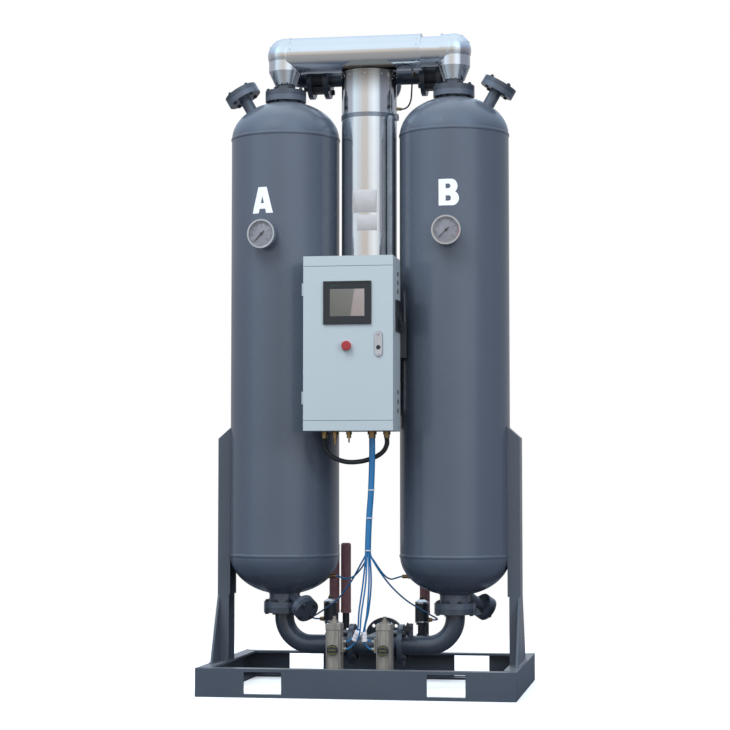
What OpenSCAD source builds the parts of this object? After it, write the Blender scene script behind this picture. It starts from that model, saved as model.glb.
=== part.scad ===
// Twin-tower desiccant air dryer: two dished pressure vessels on a channel skid, joined by a clad
// manifold and a heater at the top and by switching valves at the bottom, with a control cabinet.
// Millimetres, X to the right, Y to the back, Z up, origin under the middle of the skid.

/* [Skid] */
// Length of the skid along X
skid_l = 1130; // [1080:10:1300]
// Width of the skid along Y
skid_w = 810; // [700:2:950]
// Height of the channel beams
beam_h = 100; // [80:5:110]
// Width of a beam's flange
beam_flange = 50; // [40:1:60]
// Thickness of a beam's web
beam_web_t = 6; // [4:0.5:10]
// Thickness of a beam's flange
beam_flange_t = 8; // [6:0.5:12]
// Width of a fork opening
fork_w = 134; // [90:2:150]
// Distance between the middles of the two fork openings
fork_pitch = 646; // [560:2:660]
// Web left above and below a fork opening, inside the flanges
fork_lip = 3; // [0:0.5:8]

/* [Uprights] */
// Depth of an upright's web along Y
upright_d = 100; // [70:2:140]
// Plate thickness of an upright
upright_t = 8; // [5:0.5:12]
// Distance of an upright's outer face from the end of the skid
upright_inset = 10; // [2:1:20]
// Height of the upright's outer edge
upright_h = 912; // [700:4:1200]
// Rise of its sloping top towards the tower
upright_rise = 48; // [20:2:80]
// Depth of the flared foot along Y
foot_d = 330; // [160:5:420]
// Height of the flared foot
foot_h = 240; // [120:5:320]

/* [Towers] */
// Outer diameter of a tower
tower_d = 400; // [360:2:404]
// Distance between the tower axes
tower_pitch = 630; // [620:2:660]
// Distance of the tower axes behind the skid's front edge
tower_y = 345; // [339:1:365]
// Wall thickness of a tower
shell_t = 8; // [5:0.5:14]
// Height of the lower girth seam
seam_low_z = 486; // [480:2:560]
// Height of the upper girth seam
seam_high_z = 2020; // [1860:4:2200]
// Height of a dished head
head_h = 144; // [110:2:150]
// Width of a girth weld
weld_w = 12; // [6:1:20]
// Height of a girth weld above the plate
weld_h = 2.5; // [1:0.5:5]
// Outer diameter of the necks
neck_d = 112; // [96:1:114]
// Wall of a neck
neck_t = 8; // [5:0.5:12]
// Length from the dished head to the flange joint, at the top
neck_rise = 20; // [20:1:60]
// Length from the dished head to the flange joint, at the bottom
neck_drop = 46; // [44:1:60]
// Outer diameter of the neck flanges
neck_flange_d = 152; // [149:1:160]
// Bolt circle of the neck flanges
neck_pcd = 132; // [131:0.5:134]
// Thickness of the neck flanges
neck_flange_t = 20; // [14:1:20]
// Bolts in a neck flange
neck_bolts = 8; // [4:1:10]

/* [Tower ports] */
// Tilt of the filling port away from the vertical
fill_tilt = 30; // [22:1:36]
// Depth of the filling port's axis below the upper seam, on the tower axis
fill_drop = 109; // [60:1:150]
// Length of the filling nozzle outside the head
fill_len = 74; // [64:1:100]
// Outer diameter of the filling nozzle
fill_pipe_d = 44; // [30:1:60]
// Outer diameter of the filling port's flange
fill_flange_d = 128; // [118:1:140]
// Bolt circle of the filling port
fill_pcd = 98; // [90:1:108]
// Angle of the draining port below the level
drain_dip = 30; // [24:1:36]
// Depth of the draining port's axis below the lower seam, on the tower axis
drain_drop = 112; // [100:1:116]
// Length of the draining nozzle outside the head
drain_len = 98; // [94:1:110]
// Outer diameter of the draining nozzle
drain_pipe_d = 36; // [24:1:44]
// Outer diameter of the draining port's flange
drain_flange_d = 90; // [84:1:96]
// Bolt circle of the draining port
drain_pcd = 68; // [62:1:72]
// Thickness of a port flange and of its cover
port_flange_t = 18; // [8:1:18]
// Turn of the draining port from the right towards the front, on tower A
drain_turn = 45; // [30:1:60]

/* [Beds] */
// Gap between the bed screen's rim and the tower wall
screen_gap = 0.4; // [0.3:0.1:2]
// Thickness of a bed screen
screen_t = 6; // [3:0.5:12]
// Free space between the top of the bed and the upper seam
bed_free = 60; // [20:5:200]

/* [Gauges] */
// Diameter of a gauge case
gauge_d = 105; // [80:1:130]
// Depth of a gauge case
gauge_depth = 30; // [20:1:40]
// Distance of a gauge's back from the tower wall
gauge_stand = 24; // [12:1:40]
// Height of the gauges
gauge_z = 1643; // [1200:1:1900]
// Turn of gauge A towards the left
gauge_turn_a = 9; // [0:0.5:20]
// Width of the steel bezel
bezel_w = 6; // [3:0.5:10]
// Diameter of the gauge's stem
gauge_stem_d = 16; // [10:1:24]

/* [Pipework] */
// Outer diameter of the process pipe
pipe_d = 70; // [60:1:74]
// Wall of the process pipe
pipe_t = 4; // [3:0.5:6]
// Outer diameter of the pipe flanges
flange_d = 150; // [146:1:160]
// Bolt circle of the pipe flanges
flange_pcd = 122; // [116:1:126]
// Thickness of the pipe flanges
flange_t = 18; // [12:1:22]
// Bolts in a pipe flange
flange_bolts_n = 4; // [4:4:8]
// Bolt diameter of the pipe flanges
flange_bolt_d = 12; // [8:1:14]
// Height of the lower pipes' axis
lower_z = 162; // [150:1:166]
// Bend radius of the lower elbows
elbow_r = 100; // [80:1:104]
// Place of a butterfly valve's middle along X
valve_x = 90; // [86:1:100]
// Thickness of a butterfly valve
valve_t = 40; // [30:1:46]
// Distance of the inlet flange's face behind the tower axes
inlet_y = 380; // [210:5:400]

/* [Top manifold] */
// Height of the manifold's axis above the tower flange joint
manifold_rise = 152; // [146:1:200]
// Bend radius of the pipe inside the elbows
bend_r = 70; // [60:1:78]
// Distance of the level sheet's end from the tower axis
joint_in = 15; // [8:1:30]
// Gores between the two ends of an elbow
gores = 2; // [1:1:4]
// Outer diameter of the straight cladding
jacket_d = 134; // [110:1:136]
// Outer diameter of the elbow cladding on the left
elbow_jacket_d = 134; // [110:1:136]
// Outer diameter of the elbow cladding on the right
end_jacket_d = 128; // [118:1:132]
// Length of the first gore on the right
gore_l = 31; // [10:1:60]
// Step from an elbow's sheet in to the leg below it
leg_step = 4; // [3:0.5:8]
// Outer diameter of the collar on the right
collar_d = 112; // [104:1:120]
// Length of the collar
collar_l = 72; // [20:1:120]
// Height of a rolled seam bead
bead_h = 1.5; // [0.5:0.1:1.9]
// Width of a rolled seam bead
bead_w = 6; // [3:0.5:12]
// Bare pipe between the tower flange and the cladding
bare_l = 22; // [12:1:30]
// Height of the cladding's closing cone
cone_h = 50; // [20:1:60]
// Outer diameter of the outlet pipe
outlet_d = 60; // [48:1:60]
// Height of the outlet header below the manifold's axis
outlet_fall = 56; // [50:1:60]
// Distance of the outlet header behind the tower axes
outlet_y = 160; // [156:1:190]
// Bend radius of the outlet branches
outlet_bend_r = 58; // [50:1:62]
// Thickness of a check valve
check_t = 44; // [30:1:48]
// Distance of a check valve's inner face from the middle
check_in = 193; // [150:1:194]
// Distance of the outlet flange's face behind the tower axes
outlet_face_y = 310; // [260:5:460]

/* [Heater] */
// Outer diameter of the heater's cladding
heater_d = 204; // [150:1:214]
// Length of the heater's cladding
heater_l = 1250; // [800:10:1260]
// Gap between the heater's top and the manifold cladding
heater_gap = 7; // [4:1:20]
// Bore of the heater, inside its insulation
heater_bore = 150; // [100:1:160]
// Diameter of an element rod
rod_d = 12; // [8:1:16]
// Element rods
rods = 6; // [3:1:10]
// Height of the clamp band below the heater's top
band_drop = 168; // [60:2:400]
// Height of the clamp band
band_h = 16; // [8:1:30]
// Thickness of the clamp band
band_t = 1.5; // [1:0.5:4]
// Diameter of the cable conduit beside the heater
conduit_d = 26; // [14:1:30]
// Turn of the conduit from the front towards the right
conduit_turn = 50; // [30:1:56]
// Outer diameter of the purge line
purge_d = 34; // [24:1:42]

/* [Cabinet] */
// Width of the cabinet
cab_w = 320; // [300:2:330]
// Height of the cabinet
cab_h = 616; // [560:2:700]
// Depth of the cabinet
cab_d = 174; // [150:1:176]
// Place of the cabinet's middle along X
cab_x = -23; // [-30:1:-10]
// Height of the cabinet's underside
cab_z = 932; // [880:2:980]
// Distance of the cabinet's face from the skid's front edge
cab_setback = 17; // [17:1:20]
// Sheet thickness of the cabinet
sheet_t = 2; // [1.5:0.5:3]
// Height of the front strips above and below the door
strip_h = 35; // [24:1:50]
// Depth of the door pan
door_t = 20; // [14:1:24]
// Gap around the door
door_gap = 1.5; // [1:0.5:4]
// Width of the frame's inward lip
lip_w = 14; // [8:1:20]
// Width of the operator terminal
hmi_w = 171; // [140:1:180]
// Height of the operator terminal
hmi_h = 152; // [120:1:160]
// Width of its display
display_w = 124; // [90:1:150]
// Height of its display
display_h = 97; // [70:1:120]
// Height of the terminal's middle above the cabinet's underside
hmi_up = 450; // [400:1:470]
// Distance of the terminal's middle to the left of the cabinet's middle
hmi_left = 2; // [-20:1:30]
// Height of the stop button above the cabinet's underside
button_up = 298; // [220:1:330]
// Diameter of the stop button
button_d = 34; // [24:1:40]
// Travel of the stop button
button_travel = 4; // [2:0.5:4.5]
// Distance of the lock from the door's right edge
lock_in = 51; // [36:1:56]
// Height of the lock plate's middle above the cabinet's underside
lock_up = 304; // [240:1:340]
// Distance of the lock's core below the middle of its plate
core_drop = 13; // [0:1:18]
// Width of the lock plate
lock_w = 26; // [20:1:32]
// Height of the lock plate
lock_h = 88; // [70:1:110]
// Edge of the square side fan
fan_a = 110; // [80:1:120]
// Height of the fan's middle above the cabinet's underside
fan_up = 408; // [320:1:440]
// Distance of the fan's middle from the cabinet's back
fan_in = 64; // [58:1:90]
// Height of the bracket above the cabinet's underside
bracket_up = 265; // [100:1:400]
// Height of the bracket
bracket_h = 130; // [80:1:200]
// Distance of a bracket's leg from the tower axis
bracket_in = 155; // [120:1:170]

/* [Actuators] */
// Width of an actuator along X
act_w = 54; // [50:1:58]
// Depth of an actuator along Y
act_d = 75; // [60:1:90]
// Height of an actuator with its end caps
act_h = 180; // [160:2:200]
// Height of an end cap
act_cap = 20; // [12:1:28]
// Distance of the actuators' faces in front of the tower axes
act_y = 252; // [240:1:280]
// Diameter of the valve stem
stem_d = 14; // [10:0.5:18]
// Diameter of the position indicator
dial_d = 38; // [26:1:44]
// Radial clearance of a turning shaft
run_fit = 0.05; // [0.02:0.01:0.1]

/* [Exhaust] */
// Distance of the purge valves from the middle
purge_x = 172; // [160:1:180]
// Distance of the purge valves behind the tower axes
purge_y = 152; // [130:1:160]
// Height of a purge valve's head above the lower pipes' axis
purge_head_up = 72; // [60:1:90]
// Diameter of a purge valve's head
purge_head_d = 50; // [40:1:54]
// Height of a purge valve's head
purge_head_h = 76; // [50:1:90]
// Diameter of a silencer
silencer_d = 40; // [30:1:44]
// Length of a silencer
silencer_l = 262; // [160:2:300]

/* [Hidden] */
$fn = 96;
clearance = 0.3;
over = 1;
tower_x = tower_pitch / 2;
axis_y = tower_y - skid_w / 2;
inlet_at = axis_y + inlet_y;
outlet_at = axis_y + outlet_y;
outlet_face_at = axis_y + outlet_face_y;
act_at = axis_y - act_y;
purge_at = axis_y + purge_y;
tower_r = tower_d / 2;
low_joint_z = seam_low_z - head_h - neck_drop;
top_joint_z = seam_high_z + head_h + neck_rise;
manifold_z = top_joint_z + manifold_rise;
outlet_z = manifold_z - outlet_fall;
upright_x = skid_l / 2 - upright_inset;
bend_x = tower_x - bend_r;
bend_z = manifold_z - bend_r;
clad_x = tower_x - joint_in;
jacket_end_z = top_joint_z + neck_flange_t + bare_l;
collar_x = clad_x - gore_l;
jacket_x_b = collar_x - collar_l;
heater_top_z = manifold_z - jacket_d / 2 - heater_gap;
heater_low_z = heater_top_z - heater_l;
band_z = heater_top_z - band_drop;
front_y = -skid_w / 2 + cab_setback;
back_y = front_y + cab_d;
cab_left = cab_x - cab_w / 2;
cab_right = cab_x + cab_w / 2;
cab_top = cab_z + cab_h;
door_low = cab_z + strip_h + door_gap;
door_high = cab_top - strip_h - door_gap;
hinge_x = cab_left - 5;
hinge_y = front_y + door_t + door_gap / 2;
hinge_r = 4.5;
hinge_pin_r = 2;
hinge_half = 22;
hinge_up = [94, 478];
rail_up = [500, 350, 215];
button_x = cab_x - 4;
button_z = cab_z + button_up;
lock_x = cab_right - lock_in;
lock_z = cab_z + lock_up;
lock_core_z = lock_z - core_drop;
lock_core_r = 8;
wafer_d = flange_pcd - flange_bolt_d - 4;
valve_in = valve_x - valve_t / 2;
valve_out = valve_x + valve_t / 2;
act_back = act_at + act_d;
knob_x = valve_out + flange_t + 22;
knob_y = axis_y - 58;
knob_z = lower_z + pipe_d / 2 + 31;
knob_d = 42;
knob_t = 12;
bonnet_l = 34;
bonnet_wall = 10;
spindle_r = 4;
neck_bolt_d = 8;
port_bolt_d = 8;
gauge_front = tower_r + gauge_stand + gauge_depth;
bed_low = seam_low_z + screen_t;
bed_high = seam_high_z - bed_free;
purge_neck = 24;
silencer_y = axis_y + 236;
silencer_z = 262;
silencer_pitch = 44;
tube_d = 6;
bundle_d = 22;
ring_r = bundle_d / 2 - tube_d / 2;
loop_d = 18;
cable_d = 6;

gland_h = 12;
gland_low_z = cab_z - 2 * gland_h;
cord_y = front_y + 88;
bracket_x = tower_x - bracket_in;
loop_y = cord_y + 24;
bundle_x = 49;
loop_xs = [98, -126];
split = [bundle_x - 15, cord_y, seam_low_z + 20];
head_port_z = seam_low_z - 76;
head_port_r = tower_r - 6;
head_port_x = tower_x - head_port_r;
purge_port_l = 14;
purge_port_x = purge_x + purge_head_d / 2 + purge_port_l;
purge_port_z = lower_z + purge_head_up + 10;
act_port_x = valve_x - act_w / 2 - 17;
act_port_y = act_at + 22;
act_ports_z = [lower_z + 28, lower_z + 2];
sensor_turn = 25;
sensor_r = heater_d / 2 + 22;
sensor_x = sensor_r * cos(sensor_turn);
sensor_y = axis_y + sensor_r * sin(sensor_turn);
sensor_z = band_z + 42;
probe_x = check_in - 43;
probe_y = outlet_at - outlet_d / 2 - 18;

// Where a tube leaves the end of the bundle
function leave(turn) = split + ring_r * [cos(turn), sin(turn), 0];

// Routes of the tubes and cables: each ends at a fitting and keeps its bends round
bundle_route = [[bundle_x, cord_y, gland_low_z], [bundle_x, cord_y, gland_low_z - 70],
  [bundle_x - 4, cord_y, gland_low_z - 188], [bundle_x - 11, cord_y, gland_low_z - 288], split];
tube_a_top_route = [leave(112), [18, -266, 470], [-12, -210, 436], [-44, -155, 412], [-74, -105, 402],
  [-98, -72, 404], [-head_port_x, axis_y, head_port_z]];
tube_a_low_route = [leave(157), [2, -284, 456], [-46, -205, 392], [-104, -115, 332], [-158, -40, 296],
  [-198, 10, 272], [-purge_port_x - 19, 50, 254], [-purge_port_x - 19, 79, purge_port_z + 2],
  [-purge_port_x, purge_at, purge_port_z]];
tube_b_top_route = [leave(67), [52, -262, 470], [66, -205, 434], [76, -150, 412], [86, -100, 402],
  [98, -72, 404], [head_port_x, axis_y, head_port_z]];
tube_b_low_route = [leave(22), [64, -285, 452], [100, -205, 384], [140, -115, 330], [176, -40, 296],
  [206, 10, 272], [purge_port_x + 19, 50, 254], [purge_port_x + 19, 79, purge_port_z + 2],
  [purge_port_x, purge_at, purge_port_z]];
act_a_high_route = [leave(202), [18, cord_y - 8, 400], [4, cord_y - 10, 300], [-2, cord_y - 6, 236],
  [-act_port_x + 22, act_port_y - 3, act_ports_z[0] + 13], [-act_port_x, act_port_y, act_ports_z[0]]];
act_a_low_route = [leave(247), [29, cord_y - 18, 400], [14, cord_y - 22, 290], [5, cord_y - 14, 214],
  [-act_port_x + 24, act_port_y - 4, act_ports_z[1] + 14], [-act_port_x, act_port_y, act_ports_z[1]]];
act_b_high_route = [leave(337), [46, cord_y - 3, 400], [36, cord_y + 2, 300], [22, cord_y + 8, 240],
  [act_port_x - 18, act_port_y, act_ports_z[0] + 14], [act_port_x, act_port_y, act_ports_z[0]]];
act_b_low_route = [leave(292), [40, cord_y - 14, 400], [32, cord_y - 12, 290], [18, cord_y - 4, 216],
  [act_port_x - 20, act_port_y - 2, act_ports_z[1] + 14], [act_port_x, act_port_y, act_ports_z[1]]];
loop_route = [[loop_xs[0], loop_y, gland_low_z], [loop_xs[0], loop_y, gland_low_z - 22],
  [86, loop_y, gland_low_z - 46], [58, loop_y, gland_low_z - 66], [8, loop_y, gland_low_z - 82],
  [-48, loop_y, gland_low_z - 84], [-94, loop_y, gland_low_z - 68], [-120, loop_y, gland_low_z - 42],
  [loop_xs[1], loop_y, gland_low_z - 20], [loop_xs[1], loop_y, gland_low_z]];
cable_route = [[probe_x, probe_y, outlet_z], [probe_x, probe_y - 16, outlet_z - 2],
  [probe_x, probe_y - 32, outlet_z - 14], [probe_x, probe_y - 41, outlet_z - 36],
  [probe_x - 1, probe_y - 45, outlet_z - 72], [probe_x - 4, probe_y - 47, sensor_z + 36],
  [sensor_x + 22, sensor_y + 9, sensor_z + 10], [sensor_x, sensor_y, sensor_z]];

// Colours of the finishes
paint = "#4a5261";
steel = "#c9ccd0";
alloy = "#a09c94";
black = "#1d1e22";
sheet = "#b8c6cd";
blue = "#1d6fc0";
brass = "#b08d4a";

// Shapes that repeat

module along_x(p) {
  translate(p) rotate([0, 90, 0]) children();
}

module along_y(p) {
  translate(p) rotate([-90, 0, 0]) children();
}

module mirror_pair() {
  children();
  mirror([1, 0, 0]) children();
}

module spread(n, r, start = 0) {
  for (i = [0 : n - 1]) rotate([0, 0, start + i * 360 / n]) translate([r, 0, 0]) children();
}

module round_bar(size, r) {
  // Upright bar with rounded long edges, centred in X and Y
  linear_extrude(size.z) union() {
    square([size.x - 2 * r, size.y], center = true);
    square([size.x, size.y - 2 * r], center = true);
    for (x = [-1, 1], y = [-1, 1]) translate([x * (size.x / 2 - r), y * (size.y / 2 - r)]) circle(r);
  }
}

module pipe_flange(d, t, bore, pcd, n, hole_d) {
  difference() {
    cylinder(d = d, h = t);
    translate([0, 0, -over]) cylinder(d = bore, h = t + 2 * over);
    spread(n, pcd / 2, 180 / n) translate([0, 0, -over]) cylinder(d = hole_d, h = t + 2 * over);
  }
}

module bolt(d, grip) {
  // Hexagon bolt from below with its nut on top, for plates of the given grip
  translate([0, 0, -0.65 * d]) cylinder(r = 0.93 * d, h = 0.65 * d, $fn = 6);
  cylinder(d = d, h = grip + 1.15 * d);
  translate([0, 0, grip]) cylinder(r = 0.93 * d, h = 0.8 * d, $fn = 6);
}

module bolt_ring(n, pcd, d, grip) {
  spread(n, pcd / 2, 180 / n) bolt(d, grip);
}

module quarter_bend(r_bend, d) {
  // Round quarter bend in the XZ plane, from the origin going up to the end going along +X
  translate([r_bend, 0, 0]) rotate([90, 0, 0])
    rotate_extrude(angle = -90) translate([-r_bend, 0]) circle(d = d);
}

// Skid

module mitred_channel(l, h = beam_h) {
  // Channel along X with its web at Y = 0, its flanges towards +Y and both ends mitred at 45 degrees
  module band(w, t) {
    linear_extrude(t) polygon([[-l / 2, 0], [l / 2, 0], [l / 2 - w, w], [-l / 2 + w, w]]);
  }
  band(beam_web_t, h);
  band(beam_flange, beam_flange_t);
  translate([0, 0, h - beam_flange_t]) band(beam_flange, beam_flange_t);
}

module long_beam() {
  pocket_z = beam_flange_t + fork_lip;
  difference() {
    mitred_channel(skid_l);
    for (s = [-1, 1]) translate([s * fork_pitch / 2 - fork_w / 2, -over, pocket_z])
      cube([fork_w, beam_web_t + 2 * over, beam_h - 2 * pocket_z]);
  }
}

module front_beam() {
  color(paint) translate([0, -skid_w / 2, 0]) long_beam();
}

module rear_beam() {
  color(paint) translate([0, skid_w / 2, 0]) rotate([0, 0, 180]) long_beam();
}

module left_beam() {
  color(paint) translate([-skid_l / 2, 0, 0]) rotate([0, 0, -90]) mitred_channel(skid_w);
}

module right_beam() {
  color(paint) translate([skid_l / 2, 0, 0]) rotate([0, 0, 90]) mitred_channel(skid_w);
}

// Uprights: a web with a flared foot, two inward flanges and a sloping cap, welded to the tower

module upright() {
  reach = upright_x - tower_x - tower_r * cos(asin(upright_d / 2 / tower_r));
  web_in = upright_x - upright_t;
  inner = upright_x - reach - upright_t;
  top_in = upright_h + upright_rise;
  slope = [[upright_x, upright_h], [upright_x, beam_h], [skid_l / 2 - beam_flange, beam_h],
    [skid_l / 2 - beam_flange, seam_low_z - head_h], [inner, seam_low_z - head_h], [inner, top_in]];
  difference() {
    union() {
      translate([web_in, axis_y, 0]) rotate([90, 0, 90]) linear_extrude(upright_t)
        polygon([[-foot_d / 2, beam_h], [foot_d / 2, beam_h], [upright_d / 2, beam_h + foot_h],
          [upright_d / 2, upright_h], [-upright_d / 2, upright_h], [-upright_d / 2, beam_h + foot_h]]);
      for (s = [-1, 1]) translate([0, axis_y + s * (upright_d - upright_t) / 2 + upright_t / 2, 0])
        rotate([90, 0, 0]) linear_extrude(upright_t) polygon(slope);
      translate([0, axis_y + upright_d / 2, 0]) rotate([90, 0, 0]) linear_extrude(upright_d)
        polygon([[upright_x, upright_h - upright_t], [upright_x, upright_h], [inner, top_in],
          [inner, top_in - upright_t]]);
    }
    translate([tower_x, axis_y, seam_low_z - head_h - over])
      cylinder(r = tower_r + clearance, h = upright_h + upright_rise, $fn = 192);
    translate([tower_x, axis_y, seam_low_z - weld_w / 2 - clearance])
      cylinder(r = tower_r + weld_h + clearance, h = weld_w + 2 * clearance, $fn = 192);
  }
}

module left_upright() {
  color(paint) mirror([1, 0, 0]) upright();
}

module right_upright() {
  color(paint) upright();
}

// Towers

function dish(r, h, r_from, n = 24) =
  let (a0 = asin(r_from / r)) [for (i = [0 : n]) let (a = a0 + (90 - a0) * i / n) [r * sin(a), h * cos(a)]];

function flip(points) = [for (i = [len(points) - 1 : -1 : 0]) points[i]];

function weld_bead(r, z) = [for (a = [-90 : 30 : 90]) [r + weld_h * cos(a), z + weld_w / 2 * sin(a)]];

function tower_profile(r, h, neck_r) = concat(
  [for (p = dish(r, h, neck_r)) [p.x, seam_low_z - p.y]],
  [for (p = flip(dish(r, h, neck_r))) [p.x, seam_high_z + p.y]]);

function dish_hit(pivot, s, c) =
  // Distance from a point on the tower axis, this far inside the seam, to the dished head along a tilted line
  let (r = tower_r, a = pow(s / r, 2) + pow(c / head_h, 2), b = -2 * pivot * c / pow(head_h, 2),
    k = pow(pivot / head_h, 2) - 1) (-b + sqrt(b * b - 4 * a * k)) / (2 * a);

fill_reach = dish_hit(fill_drop, sin(fill_tilt), cos(fill_tilt)) + fill_len;
drain_pivot_z = seam_low_z - drain_drop;
drain_reach = dish_hit(-drain_drop, cos(drain_dip), sin(drain_dip)) + drain_len;

module fill_axis() {
  // Z along the filling nozzle of a tower on the right, from the tower axis outwards
  translate([0, 0, seam_high_z - fill_drop]) rotate([0, fill_tilt, 0]) children();
}

module drain_axis(turn) {
  // Z along the draining nozzle, from the tower axis outwards
  translate([0, 0, drain_pivot_z]) rotate([0, 90 + drain_dip, turn]) children();
}

module gauge_axis(turn) {
  // Z outwards along the gauge's stem, X to the left of someone facing the dial
  translate([0, 0, gauge_z]) rotate([90, 0, -turn]) children();
}

module tower_body(grow) {
  // Outer form of a tower's shell and lower head, grown by a clearance
  points = tower_profile(tower_r + grow, head_h + grow, neck_d / 2);
  rotate_extrude($fn = 192) polygon(concat([[0, points[0].y]], points, [[0, points[len(points) - 1].y]]));
}

module vessel(side, turn, gauge_turn) {
  neck_r = neck_d / 2;
  bore_r = neck_r - neck_t;
  low_z = low_joint_z + neck_flange_t;
  high_z = top_joint_z - neck_flange_t;
  flange_r = neck_flange_d / 2;
  body = tower_profile(tower_r, head_h, neck_r);
  half = len(body) / 2;
  outer = concat([[0, low_joint_z], [flange_r, low_joint_z], [flange_r, low_z], [neck_r, low_z]],
    [for (i = [0 : half - 1]) body[i]], weld_bead(tower_r, seam_low_z), weld_bead(tower_r, seam_high_z),
    [for (i = [half : 2 * half - 1]) body[i]],
    [[neck_r, high_z], [flange_r, high_z], [flange_r, top_joint_z], [0, top_joint_z]]);
  inner = concat([[0, low_joint_z - over], [bore_r, low_joint_z - over]],
    tower_profile(tower_r - shell_t, head_h - shell_t, bore_r),
    [[bore_r, top_joint_z + over], [0, top_joint_z + over]]);
  color(paint) translate([side * tower_x, axis_y, 0]) difference() {
    union() {
      rotate_extrude($fn = 192) polygon(outer);
      mirror([side < 0 ? 1 : 0, 0, 0]) fill_axis() {
        cylinder(d = fill_pipe_d, h = fill_reach);
        translate([0, 0, fill_reach - port_flange_t]) cylinder(d = fill_flange_d, h = port_flange_t);
      }
      drain_axis(turn) {
        cylinder(d = drain_pipe_d, h = drain_reach);
        translate([0, 0, drain_reach - port_flange_t]) cylinder(d = drain_flange_d, h = port_flange_t);
      }
      gauge_axis(gauge_turn) cylinder(d = gauge_stem_d + 12, h = tower_r + 10);
    }
    rotate_extrude($fn = 192) polygon(inner);
    mirror([side < 0 ? 1 : 0, 0, 0]) fill_axis() {
      cylinder(d = fill_pipe_d - 8, h = fill_reach + over);
      spread(4, fill_pcd / 2, 45) translate([0, 0, fill_reach - port_flange_t - over])
        cylinder(d = port_bolt_d + 2 * clearance, h = port_flange_t + 2 * over);
    }
    drain_axis(turn) {
      cylinder(d = drain_pipe_d - 8, h = drain_reach + over);
      spread(4, drain_pcd / 2, 45) translate([0, 0, drain_reach - port_flange_t - over])
        cylinder(d = port_bolt_d + 2 * clearance, h = port_flange_t + 2 * over);
    }
    gauge_axis(gauge_turn) cylinder(d = gauge_stem_d, h = tower_r + 10 + over);
    for (z = [low_joint_z, high_z]) translate([0, 0, z]) spread(neck_bolts, neck_pcd / 2, 180 / neck_bolts)
      translate([0, 0, -over]) cylinder(d = neck_bolt_d + 2 * clearance, h = neck_flange_t + 2 * over);
  }
}

module vessel_a() {
  vessel(-1, -drain_turn, gauge_turn_a);
}

module vessel_b() {
  vessel(1, drain_turn, 0);
}

module at_towers() {
  for (s = [-1, 1]) translate([s * tower_x, axis_y, 0]) children();
}

module desiccant_beds() {
  color("#e6e1d5") at_towers() translate([0, 0, bed_low])
    cylinder(r = tower_r - shell_t - screen_gap, h = bed_high - bed_low);
}

module bed_screens() {
  // Drilled plate under each bed, on the shell at the lower seam
  rings = 4;
  step = (tower_r - shell_t) / (rings + 0.5);
  color(steel) at_towers() translate([0, 0, seam_low_z]) difference() {
    cylinder(r = tower_r - shell_t - screen_gap, h = screen_t);
    for (k = [1 : rings]) spread(6 * k, k * step) translate([0, 0, -over])
      cylinder(d = 14, h = screen_t + 2 * over, $fn = 24);
  }
}

module cover_plate(d, pcd) {
  difference() {
    cylinder(d = d, h = port_flange_t);
    spread(4, pcd / 2, 45) translate([0, 0, -over])
      cylinder(d = port_bolt_d + 2 * clearance, h = port_flange_t + 2 * over);
  }
}

module port_covers() {
  color(paint) {
    mirror_pair() translate([tower_x, axis_y, 0]) fill_axis() translate([0, 0, fill_reach])
      cover_plate(fill_flange_d, fill_pcd);
    for (s = [-1, 1]) translate([s * tower_x, axis_y, 0]) drain_axis(s * drain_turn)
      translate([0, 0, drain_reach]) cover_plate(drain_flange_d, drain_pcd);
  }
}

// Bolts of every flange joint

module flange_bolts() {
  wafer_grip = valve_t + 2 * flange_t;
  color(steel) {
    at_towers() {
      translate([0, 0, low_joint_z - neck_flange_t])
        bolt_ring(neck_bolts, neck_pcd, neck_bolt_d, 2 * neck_flange_t);
      translate([0, 0, top_joint_z - neck_flange_t])
        bolt_ring(neck_bolts, neck_pcd, neck_bolt_d, 2 * neck_flange_t);
    }
    mirror_pair() translate([tower_x, axis_y, 0]) fill_axis() translate([0, 0, fill_reach - port_flange_t])
      bolt_ring(4, fill_pcd, port_bolt_d, 2 * port_flange_t);
    for (s = [-1, 1]) translate([s * tower_x, axis_y, 0]) drain_axis(s * drain_turn)
      translate([0, 0, drain_reach - port_flange_t]) bolt_ring(4, drain_pcd, port_bolt_d, 2 * port_flange_t);
    mirror_pair() {
      along_x([valve_in - flange_t, axis_y, lower_z])
        bolt_ring(flange_bolts_n, flange_pcd, flange_bolt_d, wafer_grip);
      along_x([check_in - flange_t, outlet_at, outlet_z])
        bolt_ring(flange_bolts_n, flange_pcd, flange_bolt_d, check_t + 2 * flange_t);
    }
  }
}

// Gauges

module at_gauges() {
  translate([-tower_x, axis_y, 0]) gauge_axis(gauge_turn_a) children();
  translate([tower_x, axis_y, 0]) gauge_axis(0) children();
}

module gauges() {
  // Case, bezel and stem in one, hollow in front for the dial and the pointer
  back = tower_r + gauge_stand;
  color(steel) at_gauges() difference() {
    union() {
      translate([0, 0, tower_r - shell_t])
        cylinder(d = gauge_stem_d - 2 * clearance, h = gauge_stand + shell_t + over);
      translate([0, 0, tower_r + 10]) cylinder(r = gauge_stem_d * 0.72, h = gauge_stand - 10, $fn = 6);
      translate([0, 0, back]) cylinder(d = gauge_d - 6, h = gauge_depth);
      translate([0, 0, gauge_front - 10]) cylinder(d = gauge_d, h = 10);
    }
    translate([0, 0, gauge_front - 12]) cylinder(d = gauge_d - 2 * bezel_w, h = 12 + over);
    translate([0, 0, gauge_front - 18]) cylinder(r = 2 + run_fit, h = 18);
  }
}

module gauge_lenses() {
  color("#dfe8ee", 0.3) at_gauges() translate([0, 0, gauge_front - 5])
    cylinder(d = gauge_d - 2 * bezel_w - 2 * clearance, h = 3);
}

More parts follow.
